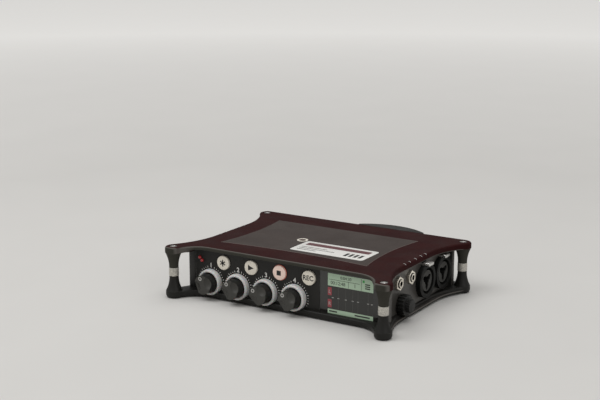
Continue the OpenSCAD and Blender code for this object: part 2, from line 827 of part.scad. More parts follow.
module jack_nuts() color(brass) in_case() for (y = jack_ys) difference() {
    translate([side_x, y, jack_z]) rotate([0, 90, 0]) cylinder(d = nut_af / cos(30), h = nut_h, $fn = 6);
    along_x(side_x - 1, y, jack_z, jack_neck_d + 2 * seam, nut_h + 2);
}

// Headphone control

// One ribbed drum of the headphone knob
module ribbed_drum(x, d, l) {
    along_x(x, phones_y, phones_z, d - rib_d, l);
    for (i = [0:phones_ribs - 1]) let (a = 360 * i / phones_ribs, r = (d - rib_d) / 2)
        along_x(x, phones_y + r * cos(a), phones_z + r * sin(a), rib_d, l);
}

module headphone_knob() color(black) in_case() difference() {
    union() {
        ribbed_drum(phones_back, phones_d, phones_base_l);
        ribbed_drum(phones_back, phones_front_d, phones_base_l + phones_front_l);
    }
    along_x(phones_back - 1, phones_y, phones_z, shaft_d + shaft_gap, phones_bore_l + 1);
}

module headphone_shaft() color(silver) in_case()
    along_x(phones_end, phones_y, phones_z, shaft_d, phones_back + phones_bore_l - seam - phones_end);

module headphone_plunger() color(light_grey) in_case()
    along_x(encoder_back + seam, phones_y, phones_z, plunger_d, plunger_l);

module headphone_encoder() color(dark_grey) in_case() difference() {
    union() {
        block([encoder_back, phones_y - encoder_w / 2, phones_z - encoder_w / 2],
            [side_x - wall_t, phones_y + encoder_w / 2, phones_z + encoder_w / 2]);
        along_x(side_x - wall_t - 1, phones_y, phones_z, bushing_d, wall_t + 1);
    }
    along_x(encoder_back - 1, phones_y, phones_z, shaft_d + 2 * shaft_gap, encoder_l + wall_t + 2);
}

// Left side

// One data port's outline between two X planes, grown by a margin
module port_block(i, x0, x1, margin) {
    half_w = port_sizes[i][0] / 2 + margin;
    half_h = port_sizes[i][1] / 2 + margin;
    y = port_y + i * port_pitch;
    block([x0, y - half_w, port_z - half_h], [x1, y + half_w, port_z + half_h]);
}

module data_ports() color(silver) in_case() on_side(-1) for (i = [0:2]) difference() {
    port_block(i, side_x - port_l, side_x, 0);
    port_block(i, side_x - port_l + 1, side_x + 1, -port_shell);
}

// The slider's channel, from an X plane outward
module slider_channel(x0, x1, length, margin) {
    block([x0, slider_y - length / 2, slider_z - slider_h / 2 - margin],
        [x1, slider_y + length / 2, slider_z + slider_h / 2 + margin]);
}

module power_switch() color(black) in_case() on_side(-1) difference() {
    inside = side_x - wall_t;
    slider_channel(inside - slider_in - slider_body_t, inside, slider_slot_l + 2 * slider_ends, slider_frame);
    slider_channel(inside - slider_in - slip, side_x, slider_slot_l, slip);
}

module power_slider() color(light_grey) in_case() on_side(-1)
    translate([0, (slider_l - slider_slot_l) / 2 + slip, 0])
        slider_channel(side_x - wall_t - slider_in, side_x + slider_out, slider_l, 0);

// Boards and the memory card

module at_board_screws() {
    for (x = [-1, 1], y = [main_front + board_inset, socket_front - board_head_d])
        translate([x * (main_w / 2 - board_inset), y, 0]) children();
}

module main_board() color(board_green) in_case() difference() {
    block([-main_w / 2, main_front, main_z], [main_w / 2, main_front + main_l, main_z + board_t]);
    at_board_screws() translate([0, 0, main_z - 1]) cylinder(d = board_screw_d + 2 * seam, h = board_t + 2);
}

module board_posts() color(brass) in_case() at_board_screws() difference() {
    translate([0, 0, floor_z]) cylinder(d = board_post_d, h = standoff_h);
    translate([0, 0, floor_z + 1]) cylinder(d = board_screw_d + 2 * seam, h = standoff_h);
}

module board_screws() color(silver) in_case() at_board_screws() {
    translate([0, 0, main_z + board_t]) cylinder(d = board_head_d, h = board_head_h);
    translate([0, 0, floor_z + 2]) cylinder(d = board_screw_d, h = main_z + board_t - floor_z - 2 + eps);
}

module card_socket() color(silver) in_case() difference() {
    half_w = card_w / 2 + slip + socket_wall;
    block([card_x - half_w, socket_front, main_z + board_t],
        [card_x + half_w, rear_y - wall_t, card_low + card_t + slip + socket_wall]);
    card_slot(socket_front + socket_wall);
}

// The space that a card slides in, from a Y plane out through the rear
module card_slot(y0) {
    block([card_x - card_w / 2 - slip, y0, card_low - slip],
        [card_x + card_w / 2 + slip, rear_y + 1, card_low + card_t + slip]);
}

module memory_card() color(cell_blue) in_case() translate([card_x, card_back, card_low])
    linear_extrude(card_t) polygon([
        [-card_w / 2, 0], [card_w / 2, 0], [card_w / 2, -card_l + card_cut],
        [card_w / 2 - card_cut, -card_l], [-card_w / 2, -card_l]
    ]);

// Rear panel and battery sled

module rear_panel() color(dark_grey) in_case() difference() {
    union() {
        block([panel_left, rear_y - wall_t, floor_z], [-panel_left, rear_y, roof_z]);
        block([bay_left - wall_t, bay_front - wall_t, floor_z], [bay_right + wall_t, rear_y, roof_z]);
    }
    block([bay_left, bay_front, floor_z - 1], [bay_right, rear_y + 1, roof_z + 1]);
    card_slot(rear_y - wall_t - 1);
}

// Grip of the sled behind the case, bowed to the rear
module sled_grip() intersection() {
    block([sled_x - sled_w / 2, rear_edge + slip, foot_h],
        [sled_x + sled_w / 2, sled_back, case_h - grip_drop]);
    translate([sled_x, sled_back - grip_r, 0]) cylinder(r = grip_r, h = case_h, $fn = 180);
}

// Tray for the cells with its grip
module battery_sled() color(dark_grey) in_case() difference() {
    union() {
        block([sled_x - sled_w / 2, sled_front, sled_low],
            [sled_x + sled_w / 2, tray_back, sled_low + sled_h]);
        sled_grip();
    }
    block([sled_x - sled_in_w / 2, sled_front - 1, sled_low + sled_wall],
        [sled_x + sled_in_w / 2, sled_back - sled_cap, sled_low + sled_h - sled_wall]);
    latch_block(sled_back - latch_t - latch_travel - slip, sled_back + 1, slip);
}

module battery_cells() color(cell_blue) in_case() for (y = cell_ys, z = cell_zs) {
    along_x(sled_x - cell_l / 2, y, z, cell_d, cell_l - cell_nub_l);
    along_x(sled_x + cell_l / 2 - cell_nub_l - eps, y, z, cell_nub_d, cell_nub_l + eps);
}

module sled_contacts() color(silver) in_case() for (s = [-1, 1], y = cell_ys)
    translate([sled_x, 0, 0]) on_side(s)
        block([sled_in_w / 2 - contact_t, y - contact_w / 2, cell_zs[0] - contact_w / 2],
            [sled_in_w / 2, y + contact_w / 2, cell_zs[1] + contact_w / 2]);

// The sled's latch button between two Y planes, grown by a margin
module latch_block(y0, y1, margin) {
    block([sled_x - latch_w / 2 - margin, y0, mid_z - latch_h / 2 - margin],
        [sled_x + latch_w / 2 + margin, y1, mid_z + latch_h / 2 + margin]);
}

module sled_latch() color(light_grey) in_case() latch_block(sled_back - latch_t, sled_back, 0);

top_cover();
bottom_cover();
post_sleeves();
corner_screws();
grip_pad();
asset_label();
top_thread_insert();
bottom_thread_insert();
front_panel();
light_rings();
knob_1();
knob_2();
knob_3();
knob_4();
knob_shaft_1();
knob_shaft_2();
knob_shaft_3();
knob_shaft_4();
knob_plunger_1();
knob_plunger_2();
knob_plunger_3();
knob_plunger_4();
channel_pots();
key_star();
key_play();
key_stop();
key_record();
key_switches();
status_lights();
front_board();
display_glass();
display_module();
right_panel();
left_panel();
rear_panel();
combo_shells();
combo_cores();
release_tab_1();
release_tab_2();
release_tab_3();
release_tab_4();
small_jacks();
jack_nuts();
headphone_knob();
headphone_shaft();
headphone_plunger();
headphone_encoder();
data_ports();
power_switch();
power_slider();
main_board();
board_posts();
board_screws();
card_socket();
memory_card();
battery_sled();
battery_cells();
sled_contacts();
sled_latch();
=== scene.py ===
"""Finishes, rounded shells, printed marks and the studio for a portable field recorder."""
import json
import math

import bmesh
import bpy
from bpy.props import FloatProperty, FloatVectorProperty, IntProperty, PointerProperty
from mathutils import Matrix, Vector

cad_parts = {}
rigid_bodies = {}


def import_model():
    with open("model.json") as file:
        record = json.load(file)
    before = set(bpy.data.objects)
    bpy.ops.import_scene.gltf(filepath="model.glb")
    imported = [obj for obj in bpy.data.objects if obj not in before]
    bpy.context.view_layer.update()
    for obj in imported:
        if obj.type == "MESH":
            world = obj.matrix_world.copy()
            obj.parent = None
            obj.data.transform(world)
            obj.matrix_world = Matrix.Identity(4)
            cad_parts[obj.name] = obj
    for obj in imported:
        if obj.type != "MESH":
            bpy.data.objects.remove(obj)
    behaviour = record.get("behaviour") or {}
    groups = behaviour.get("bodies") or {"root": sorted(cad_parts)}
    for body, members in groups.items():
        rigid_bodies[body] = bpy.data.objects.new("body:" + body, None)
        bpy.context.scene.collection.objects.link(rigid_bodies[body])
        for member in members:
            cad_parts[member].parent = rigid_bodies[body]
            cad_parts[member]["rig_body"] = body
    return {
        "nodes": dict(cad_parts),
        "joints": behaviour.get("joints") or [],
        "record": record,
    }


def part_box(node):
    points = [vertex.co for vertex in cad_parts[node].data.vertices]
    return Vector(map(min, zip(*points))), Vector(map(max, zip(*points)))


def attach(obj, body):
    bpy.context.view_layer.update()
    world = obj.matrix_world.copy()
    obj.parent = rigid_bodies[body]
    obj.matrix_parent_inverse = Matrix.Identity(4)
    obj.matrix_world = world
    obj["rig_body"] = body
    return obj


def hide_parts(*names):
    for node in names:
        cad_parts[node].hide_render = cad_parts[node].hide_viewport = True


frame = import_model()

bl_info = {
    "name": "Portable field recorder",
    "version": (1, 0, 0),
    "blender": (4, 5, 0),
    "location": "View3D > Sidebar > Recorder",
    "description": "Dresses the recorder's frame with its shells, controls, prints and finishes",
    "category": "Object",
}

MM = 0.001
NODES = frame["nodes"]
MOUNTS = {mount["name"]: Vector(mount["pos_m"]) for mount in frame["record"]["mounts"]}
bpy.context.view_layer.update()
CHASSIS = "chassis"


def low(node):
    """Lowest corner of a node."""
    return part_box(node)[0]


def high(node):
    """Highest corner of a node."""
    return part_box(node)[1]


def middle(node):
    """Middle of a node's box."""
    lo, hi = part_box(node)
    return (lo + hi) / 2


# Places that come from the frame
TOP_Z = high("top_cover").z
FOOT_H = MOUNTS["bottom_thread"].z
POST = MOUNTS["rear_right_strap_post"]
CASE_Y = MOUNTS["bottom_thread"].y
FLARE_R = high("top_cover").x - POST.x
PANEL_Y = low("front_panel").y
PANEL_LOW = low("front_panel").z
PANEL_HIGH = high("front_panel").z
SIDE_X = low("jack_nuts").x
RING_R = middle("knob_shaft_1").x - low("light_rings").x
SLOTS = {part["node"]: part["material_slot"] for part in frame["record"]["subparts"]}
KEYS = ("key_star", "key_play", "key_stop", "key_record")

# Small gaps between pieces, and the white of the studio
SEAM = 0.1 * MM
SINK = 0.15 * MM
SLIP = 0.25 * MM
DAYLIGHT = (1.0, 0.99, 0.97, 1.0)


def size(title, text, default_mm):
    """A length property, given in millimetres and held in metres."""
    return FloatProperty(name=title, description=text, default=default_mm * MM, min=0.0,
                         unit="LENGTH", precision=5)


def colour(title, text, default):
    """A colour property in linear light."""
    return FloatVectorProperty(name=title, description=text, default=default, size=3,
                               subtype="COLOR", min=0.0, max=1.0)


class RecorderSizes(bpy.types.PropertyGroup):
    """Sizes of the visible forms that the frame leaves plain."""
    edge_round: size("Edge round", "Radius of the covers' outer edge", 1.6)
    lip_round: size("Lip round", "Radius on the covers' open edges", 0.9)
    rim_h: size("Rim height", "Height of the rim around each cover", 4.5)
    lip_h: size("Lip height", "Height of the top cover's rim over the front panel", 2.6)
    lip_end: size("Lip end", "From the end of the thin front rim to a post", 6.0)
    front_recess: size("Front recess", "Covers' front edge behind the posts' front", 15.3)
    ledge: size("Ledge", "Bottom cover's sides outside the top cover's", 3.0)
    ledge_edge: size("Ledge edge", "Upright edge of that ledge above its rounding", 0.7)
    side_recess: size("Side recess", "Covers' side edge inside the posts' outside", 13.0)
    front_curve: size("Front curve", "Radius from the front edge out to a post", 20.0)
    side_curve: size("Side curve", "Radius from a side edge out to a post", 60.0)
    ring_gap: size("Ring gap", "Gap between a knob and its light ring", 0.25)
    neck_d: size("Post neck", "Diameter of a post beside its sleeve", 6.6)
    print_t: size("Print height", "Thickness of printed marks", 0.04)
    scale_r: size("Scale radius", "Inner radius of the scale printed round a knob", 10.3)
    tick_l: size("Tick length", "Length of a long tick of the scale", 1.2)
    tick_w: size("Tick width", "Width of a tick", 0.4)
    digit_h: size("Digit height", "Height of the channel numbers", 3.25)
    ticks: IntProperty(name="Ticks", description="Ticks of a knob's scale", default=28, min=4)


class RecorderColours(bpy.types.PropertyGroup):
    """Colours of the finishes."""
    # The top cover's maroon is a painted reflection of a red wall on black moulding.
    top: colour("Top cover", "Maroon-black moulding", (0.027, 0.0060, 0.0060))
    bottom: colour("Bottom cover", "Black moulding", (0.0115, 0.0110, 0.0095))
    # The olive-black of the upper posts is the black moulding painted paler, a painted light from the front.
    post: colour("Posts", "Olive-black moulding of the upper posts", (0.042, 0.0405, 0.0335))
    pad: colour("Grip pad", "Grey rubber", (0.056, 0.045, 0.041))
    panel: colour("Panels", "Black paint", (0.0125, 0.0120, 0.0105))
    # Besides real edge wear, this colour serves as the painted highlight on the covers' edges.
    worn: colour("Worn edges", "Black moulding rubbed pale", (0.105, 0.097, 0.088))
    side: colour("Side panels", "Satin black paint", (0.052, 0.048, 0.043))
    metal: colour("Sleeves", "Bead blasted aluminium", (0.50, 0.48, 0.43))
    steel: colour("Steel", "Screws, tabs and ports", (0.62, 0.61, 0.59))
    nickel: colour("Nickel", "Jack nuts", (0.86, 0.81, 0.71))
    ring: colour("Light rings", "Milky plastic", (0.66, 0.65, 0.64))
    knob: colour("Knobs", "Soft black plastic", (0.0125, 0.0121, 0.0107))
    socket: colour("Sockets", "Black plastic", (0.007, 0.007, 0.0065))
    core: colour("Socket cores", "Dark grey plastic", (0.046, 0.045, 0.042))
    key: colour("Keys", "Cream plastic", (0.78, 0.73, 0.63))
    lit_key: colour("Lit key", "Key with its lamp on", (0.76, 0.58, 0.50))
    glow: colour("Glow", "Orange-red rim of the lit key", (0.50, 0.10, 0.06))
    lamp: colour("Lamps", "Red status lights", (0.36, 0.012, 0.016))
    marks: colour("Marks", "Printed marks", (0.66, 0.65, 0.62))
    dust: colour("Dust", "Settled grey dust", (0.42, 0.40, 0.37))
    label: colour("Label", "White label film", (0.74, 0.73, 0.70))
    label_bar: colour("Label bar", "Dark red bar on the label", (0.10, 0.016, 0.022))
    screen_pale: colour("Screen green", "Lit green of the display", (0.30, 0.40, 0.29))
    screen_dark: colour("Screen field", "Dark field of the display", (0.020, 0.020, 0.018))
    screen_red: colour("Screen red", "Red labels of the display", (0.235, 0.038, 0.046))
    board: colour("Boards", "Green solder mask", (0.008, 0.055, 0.026))
    cell: colour("Cells", "Blue-grey jackets and card", (0.035, 0.048, 0.074))
    floor: colour("Floor", "Pale studio floor", (0.62, 0.61, 0.59))


def sizes():
    """The sizes set in this scene."""
    return bpy.context.scene.recorder_sizes


def colours():
    """The colours set in this scene."""
    return bpy.context.scene.recorder_colours


# Mesh helpers

def lathe(bm, profile, centre, axis="Z", steps=64):
    """Turn a profile of (radius, height) points round an axis through centre."""
    turn = {"Z": Matrix(), "Y": Matrix.Rotation(-math.pi / 2, 4, "X"),
            "X": Matrix.Rotation(math.pi / 2, 4, "Y")}[axis]
    place = Matrix.Translation(centre) @ turn
    verts = [bm.verts.new(place @ Vector((r, 0, h))) for r, h in profile]
    edges = [bm.edges.new(pair) for pair in zip(verts, verts[1:])]
    bmesh.ops.spin(bm, geom=verts + edges, cent=centre, axis=place.to_3x3() @ Vector((0, 0, 1)),
                   angle=2 * math.pi, steps=steps, use_merge=True)
    bmesh.ops.remove_doubles(bm, verts=bm.verts, dist=1e-7)
    bmesh.ops.recalc_face_normals(bm, faces=bm.faces)


def rounded(points, radius, steps=5):
    """A profile with its inner corners rounded to a radius."""
    out = [points[0]]
    for before, corner, after in zip(points, points[1:], points[2:]):
        a, b, c = Vector(before), Vector(corner), Vector(after)
        reach = min(radius, (a - b).length * 0.49, (c - b).length * 0.49)
        start = b + (a - b).normalized() * reach
        end = b + (c - b).normalized() * reach
        for i in range(steps + 1):
            t = i / steps
            out.append(tuple(start * (1 - t) ** 2 + b * 2 * t * (1 - t) + end * t ** 2))
    return out + [points[-1]]


def box(bm, low_corner, high_corner, turn=0.0):
    """A block between two corners, turned about its middle across the front."""
    low_corner, high_corner = Vector(low_corner), Vector(high_corner)
    centre = (low_corner + high_corner) / 2
    place = Matrix.Translation(centre) @ Matrix.Rotation(turn, 4, "Y")
    bmesh.ops.create_cube(bm, size=1.0, matrix=place @ Matrix.Diagonal((*(high_corner - low_corner), 1)))


def verts_of(made):
    """The vertices among what a mesh operator made."""
    return [part for part in made if isinstance(part, bmesh.types.BMVert)]


def bevel(bm, edges, width, segments, clamp=True):
    """Round edges to a radius; a clamp keeps roundings from running into each other."""
    bmesh.ops.bevel(bm, geom=edges, offset=width, offset_type="OFFSET", segments=segments,
                    profile=0.5, affect="EDGES", clamp_overlap=clamp, material=-1)


def round_edges(bm, width, segments=3, angle=35, where=None, clamp=True):
    """Round the edges that meet at more than an angle, where a test of their middle holds."""
    edges = []
    for edge in bm.edges:
        if len(edge.link_faces) == 2 and edge.calc_face_angle() > math.radians(angle):
            if where is None or where((edge.verts[0].co + edge.verts[1].co) / 2):
                edges.append(edge)
    if edges:
        bevel(bm, edges, width, segments, clamp)


def mesh_of(bm, name):
    """A mesh made of a bmesh, which is freed."""
    mesh = bpy.data.meshes.new(name)
    bm.to_mesh(mesh)
    bm.free()
    return mesh


def carved(bm, cutter, operation="DIFFERENCE"):
    """A mesh with another taken out of it or joined to it."""
    body = bpy.data.objects.new("carved", mesh_of(bm, "carved"))
    tool = bpy.data.objects.new("cutter", mesh_of(cutter, "cutter"))
    for obj in (body, tool):
        bpy.context.scene.collection.objects.link(obj)
    step = body.modifiers.new("cut", "BOOLEAN")
    step.operation, step.object, step.solver = operation, tool, "EXACT"
    result = bmesh.new()
    result.from_object(body, bpy.context.evaluated_depsgraph_get())
    for obj in (body, tool):
        mesh = obj.data
        bpy.data.objects.remove(obj)
        bpy.data.meshes.remove(mesh)
    return result


def node_mesh(node):
    """A merged copy of a node's mesh with its flat faces made whole."""
    bm = bmesh.new()
    bm.from_mesh(NODES[node].data)
    bmesh.ops.remove_doubles(bm, verts=bm.verts, dist=1e-6)
    bmesh.ops.dissolve_limit(bm, angle_limit=math.radians(0.6), verts=bm.verts, edges=bm.edges)
    return bm


def piece(bm, name, node=None, body=CHASSIS, slot=None, material=None, smooth=32):
    """Make a finished piece of a mesh; it stands for a node or only rides with a body."""
    slot = slot or SLOTS[node]
    obj = bpy.data.objects.new(name, mesh_of(bm, name))
    bpy.context.scene.collection.objects.link(obj)
    obj.data.materials.append(finish(material or slot))
    obj.data.polygons.foreach_set("use_smooth", [True] * len(obj.data.polygons))
    obj.data.set_sharp_from_angle(angle=math.radians(smooth))
    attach(obj, NODES[node]["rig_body"] if node else body)
    if node:
        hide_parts(node)


def softened(node, width, segments=3, angle=35, where=None, material=None):
    """Stand for a node with a copy of it whose sharp edges are rounded; width is in millimetres."""
    bm = node_mesh(node)
    round_edges(bm, width * MM, segments, angle, where)
    piece(bm, f"{node}_moulded", node, material=material)


def words(bm, text, height, centre, bold=0.0):
    """Add flat lettering of a height, in the middle of a place, facing the front."""
    curve = bpy.data.curves.new("words", "FONT")
    curve.body, curve.align_x, curve.align_y = text, "CENTER", "CENTER"
    curve.extrude, curve.offset = sizes().print_t / height, bold
    holder = bpy.data.objects.new("words", curve)
    bpy.context.scene.collection.objects.link(holder)
    flat = bpy.data.meshes.new_from_object(holder.evaluated_get(bpy.context.evaluated_depsgraph_get()))
    bpy.data.objects.remove(holder)
    bpy.data.curves.remove(curve)
    cap = 0.7
    flat.transform(Matrix.Translation(centre) @ Matrix.Rotation(math.pi / 2, 4, "X")
                   @ Matrix.Scale(height / cap, 4))
    bm.from_mesh(flat)
    bpy.data.meshes.remove(flat)


# Shader helpers

def add(tree, kind, settings=None, **inputs):
    """Add a node; inputs are set by name or, as i0, i1 and so on, by number."""
    node = tree.nodes.new("ShaderNode" + kind)
    for key, value in (settings or {}).items():
        setattr(node, key, value)
    for key, value in inputs.items():
        number = key[1:]
        socket = node.inputs[int(number)] if number.isdigit() else node.inputs[key.replace("_", " ")]
        if isinstance(value, bpy.types.NodeSocket):
            tree.links.new(value, socket)
        else:
            socket.default_value = value
    return node


def maths(tree, operation, first, second=0.0, third=0.0):
    """The result of a sum on values or sockets."""
    return add(tree, "Math", {"operation": operation}, i0=first, i1=second, i2=third).outputs[0]


def between(tree, value, start, end):
    """A mask that rises from 0 to 1 between two values."""
    return add(tree, "MapRange", None, Value=value, From_Min=start, From_Max=end).outputs[0]


def mixed(tree, mask, first, second):
    """One colour over another where a mask is 1."""
    return add(tree, "Mix", {"data_type": "RGBA"}, i0=mask, i6=first, i7=second).outputs[2]


def noise(tree, place, scale, detail=2.0):
    """Soft noise from 0 to 1."""
    return add(tree, "TexNoise", None, Vector=place, Scale=scale, Detail=detail).outputs[0]


def opaque(rgb, gain=1.0):
    """A colour with full alpha, made lighter or darker by a gain."""
    return (*(min(1.0, channel * gain) for channel in rgb), 1.0)


def new_group(name, inputs, outputs):
    """An empty shader group with its inputs (name, kind, default) and float outputs."""
    tree = bpy.data.node_groups.new(name, "ShaderNodeTree")
    for title, kind, default in inputs:
        socket = tree.interface.new_socket(title, in_out="INPUT", socket_type="NodeSocket" + kind)
        if default is not None:
            socket.default_value = default
    for title in outputs:
        tree.interface.new_socket(title, in_out="OUTPUT", socket_type="NodeSocketFloat")
    return tree, tree.nodes.new("NodeGroupInput").outputs, tree.nodes.new("NodeGroupOutput").inputs


def grain_group():
    """Moulding grain: a fine height and a broad mottle."""
    tree, given, out = new_group("Moulded grain", [("Place", "Vector", None), ("Scale", "Float", 1500.0)],
                                 ["Height", "Mottle"])
    fine = noise(tree, given["Place"], given["Scale"], 3.0)
    broad = noise(tree, given["Place"], maths(tree, "MULTIPLY", given["Scale"], 0.04), 4.0)
    tree.links.new(fine, out["Height"])
    tree.links.new(between(tree, broad, 0.3, 0.7), out["Mottle"])
    return tree


def wear_group():
    """Edge wear: where a rounded normal leaves the face's own, broken up by noise."""
    tree, given, out = new_group("Edge wear", [("Place", "Vector", None), ("Width", "Float", 0.0008),
                                               ("Amount", "Float", 0.5)], ["Mask"])
    face = add(tree, "NewGeometry").outputs["True Normal"]
    soft = add(tree, "Bevel", {"samples": 4}, Radius=given["Width"]).outputs[0]
    match = add(tree, "VectorMath", {"operation": "DOT_PRODUCT"}, i0=face, i1=soft).outputs["Value"]
    edge = between(tree, maths(tree, "SUBTRACT", 1.0, match), 0.02, 0.25)
    patchy = between(tree, noise(tree, given["Place"], 260.0, 6.0), 0.42, 0.68)
    mask = maths(tree, "MULTIPLY", maths(tree, "MULTIPLY", edge, patchy), given["Amount"])
    tree.links.new(mask, out["Mask"])
    return tree


def dust_group():
    """Dust that settles on faces that look up."""
    tree, given, out = new_group("Settled dust", [("Place", "Vector", None), ("Amount", "Float", 0.2)],
                                 ["Mask"])
    up = add(tree, "SeparateXYZ", None, i0=add(tree, "NewGeometry").outputs["Normal"]).outputs["Z"]
    cloud = between(tree, noise(tree, given["Place"], 45.0, 5.0), 0.35, 0.75)
    specks = between(tree, noise(tree, given["Place"], 2600.0, 1.0), 0.60, 0.74)
    drift = maths(tree, "MULTIPLY_ADD", specks, 0.8, maths(tree, "MULTIPLY", cloud, 0.35))
    mask = maths(tree, "MULTIPLY", maths(tree, "MULTIPLY", between(tree, up, 0.5, 1.0), drift),
                 given["Amount"])
    tree.links.new(mask, out["Mask"])
    return tree


def scratch_group():
    """Fine straight scuffs in two directions."""
    tree, given, out = new_group("Fine scuffs", [("Place", "Vector", None), ("Amount", "Float", 0.3)],
                                 ["Mask"])
    lines = []
    for turn, stretch in ((0.5, (40.0, 900.0, 900.0)), (-0.9, (1100.0, 55.0, 1100.0))):
        run = add(tree, "Mapping", None, Vector=given["Place"], Rotation=(0, 0, turn), Scale=stretch)
        streak = noise(tree, run.outputs[0], 1.0, 1.0)
        lines.append(between(tree, maths(tree, "ABSOLUTE", maths(tree, "SUBTRACT", streak, 0.5)),
                             0.012, 0.0))
    sparse = between(tree, noise(tree, given["Place"], 70.0, 3.0), 0.5, 0.7)
    mask = maths(tree, "MULTIPLY", maths(tree, "MULTIPLY", maths(tree, "MAXIMUM", *lines), sparse),
                 given["Amount"])
    tree.links.new(mask, out["Mask"])
    return tree


GROUPS = {"Moulded grain": grain_group, "Edge wear": wear_group, "Settled dust": dust_group,
          "Fine scuffs": scratch_group}


def effect(tree, name, **inputs):
    """Place a shared effect in a material."""
    group = bpy.data.node_groups.get(name) or GROUPS[name]()
    return add(tree, "Group", {"node_tree": group}, **inputs).outputs


def surface(name, rgb, roughness, metallic=0.0, grain=1500.0, bump=0.02, mottle=0.12, wear=0.0,
            worn=(0.2, 0.19, 0.18), dust=0.0, scuffs=0.0, relief=None, paint=None, **sockets):
    """A finish from the shared effects; bump is in millimetres.

    Relief adds a height of its own, and paint lays a second colour over the first.
    """
    material = bpy.data.materials.new(name)
    material.use_nodes = True
    tree = material.node_tree
    shader = tree.nodes["Principled BSDF"]
    place = add(tree, "TexCoord").outputs["Object"]
    texture = effect(tree, "Moulded grain", Place=place, Scale=grain)
    base = mixed(tree, texture["Mottle"], opaque(rgb, 1 - mottle), opaque(rgb, 1 + mottle))
    if paint:
        base = paint(tree, place, base)
    rough = maths(tree, "MULTIPLY_ADD", texture["Mottle"], 0.14, roughness - 0.07)
    if scuffs:
        mask = effect(tree, "Fine scuffs", Place=place, Amount=scuffs)["Mask"]
        base = mixed(tree, mask, base, opaque(worn))
        rough = maths(tree, "MULTIPLY_ADD", mask, 0.25, rough)
    if wear:
        mask = effect(tree, "Edge wear", Place=place, Amount=wear)["Mask"]
        base = mixed(tree, mask, base, opaque(worn))
    if dust:
        mask = effect(tree, "Settled dust", Place=place, Amount=dust)["Mask"]
        base = mixed(tree, mask, base, opaque(colours().dust))
        rough = maths(tree, "MULTIPLY_ADD", mask, 0.4, rough)
    height = texture["Height"]
    if relief:
        height = maths(tree, "ADD", height, relief(tree, place))
    relief_normal = add(tree, "Bump", None, Strength=0.6, Distance=bump * MM, Height=height)
    for socket, value in (("Base Color", base), ("Roughness", rough),
                          ("Normal", relief_normal.outputs[0])):
        tree.links.new(value, shader.inputs[socket])
    shader.inputs["Metallic"].default_value = metallic
    for socket, value in sockets.items():
        shader.inputs[socket.replace("_", " ")].default_value = value
    return material


# Finishes, one for each material slot and for the prints

def stipple(tree, place):
    """Close round pimples of a rubber pad."""
    cells = add(tree, "TexVoronoi", {"feature": "SMOOTH_F1"}, Vector=place, Scale=1100.0)
    return maths(tree, "MULTIPLY", cells.outputs["Distance"], -1.6)


def turned(tree, place):
    """Fine rings left by turning, across Z."""
    rings = add(tree, "TexWave", {"bands_direction": "Z"}, Vector=place, Scale=800.0, Distortion=0.4)
    return maths(tree, "MULTIPLY", rings.outputs[1], 0.6)


def along(tree, source, axis):
    """One axis of a place or of a direction."""
    return add(tree, "SeparateXYZ", None, i0=source).outputs[axis]


def facing(tree, axis):
    """How far a surface looks along an axis."""
    return along(tree, add(tree, "TexCoord").outputs["Normal"], axis)


def band(tree, value, start, end, blur):
    """A mask that is 1 between two values and fades outside them."""
    return maths(tree, "MINIMUM", between(tree, value, start - blur, start),
                 between(tree, value, end + blur, end))


def worn_lip(tree, place, base):
    """A thin painted highlight on the rounding of a cover's open edge, away from the posts."""
    s = sizes()
    height = along(tree, place, "Z")
    lip, ledge = TOP_Z - s.rim_h, FOOT_H + s.edge_round
    near = maths(tree, "MAXIMUM", band(tree, height, lip - MM, lip + s.lip_round, 0.1 * MM),
                 band(tree, height, ledge, ledge + s.ledge_edge, 0.1 * MM))
    tilt = band(tree, maths(tree, "ABSOLUTE", facing(tree, "Z")), 0.35, 0.9, 0.15)
    corner = place
    for operation, value in (("SUBTRACT", (0, CASE_Y, 0)), ("ABSOLUTE", (0, 0, 0)), ("MULTIPLY", (1, 1, 0))):
        corner = add(tree, "VectorMath", {"operation": operation}, i0=corner, i1=value).outputs[0]
    apart = add(tree, "VectorMath", {"operation": "DISTANCE"}, i0=corner, i1=(POST.x, POST.y - CASE_Y, 0))
    away = between(tree, apart.outputs["Value"], FLARE_R, FLARE_R + MM)
    # The painted highlight line takes the worn colour.
    mask = maths(tree, "MULTIPLY", maths(tree, "MULTIPLY", near, tilt), away)
    return mixed(tree, mask, base, opaque(colours().worn))


def top_paint(tree, place, base):
    """Painted light on the top cover: the paler post colour below the rim and on the front half's faces to
    the front, the maroon painted reflection elsewhere, with a painted highlight on the front edge between.
    """
    c = colours()
    rear = between(tree, along(tree, place, "Y"), CASE_Y - MM, CASE_Y + MM)
    look = maths(tree, "ADD", facing(tree, "Y"), rear)
    lip = TOP_Z - sizes().rim_h
    rim = between(tree, along(tree, place, "Z"), lip - MM / 2, lip)
    # Below the rim and on faces to the front, the paler post colour is painted light; the rest keeps the
    # painted maroon reflection.
    upper = maths(tree, "MULTIPLY", rim, between(tree, look, -0.75, -0.4))
    # A painted highlight in the worn colour along the rounded front edge.
    edge = maths(tree, "MULTIPLY", rim, band(tree, look, -0.65, -0.5, 0.2))
    return worn_lip(tree, place, mixed(tree, edge, mixed(tree, upper, opaque(c.post), base), opaque(c.worn)))


def handled_front(tree, place, base):
    """Faces that look to the front, painted paler for the front light they catch: painted light."""
    return mixed(tree, between(tree, facing(tree, "Y"), -0.45, -0.8), base, opaque(colours().knob, 3.6))


def dark_front(tree, place, base):
    """Side panels' cheeks, painted black where they look to the front: a painted shade beside the paler
    sides.
    """
    return mixed(tree, between(tree, facing(tree, "Y"), -0.5, -0.8), base, opaque(colours().panel))


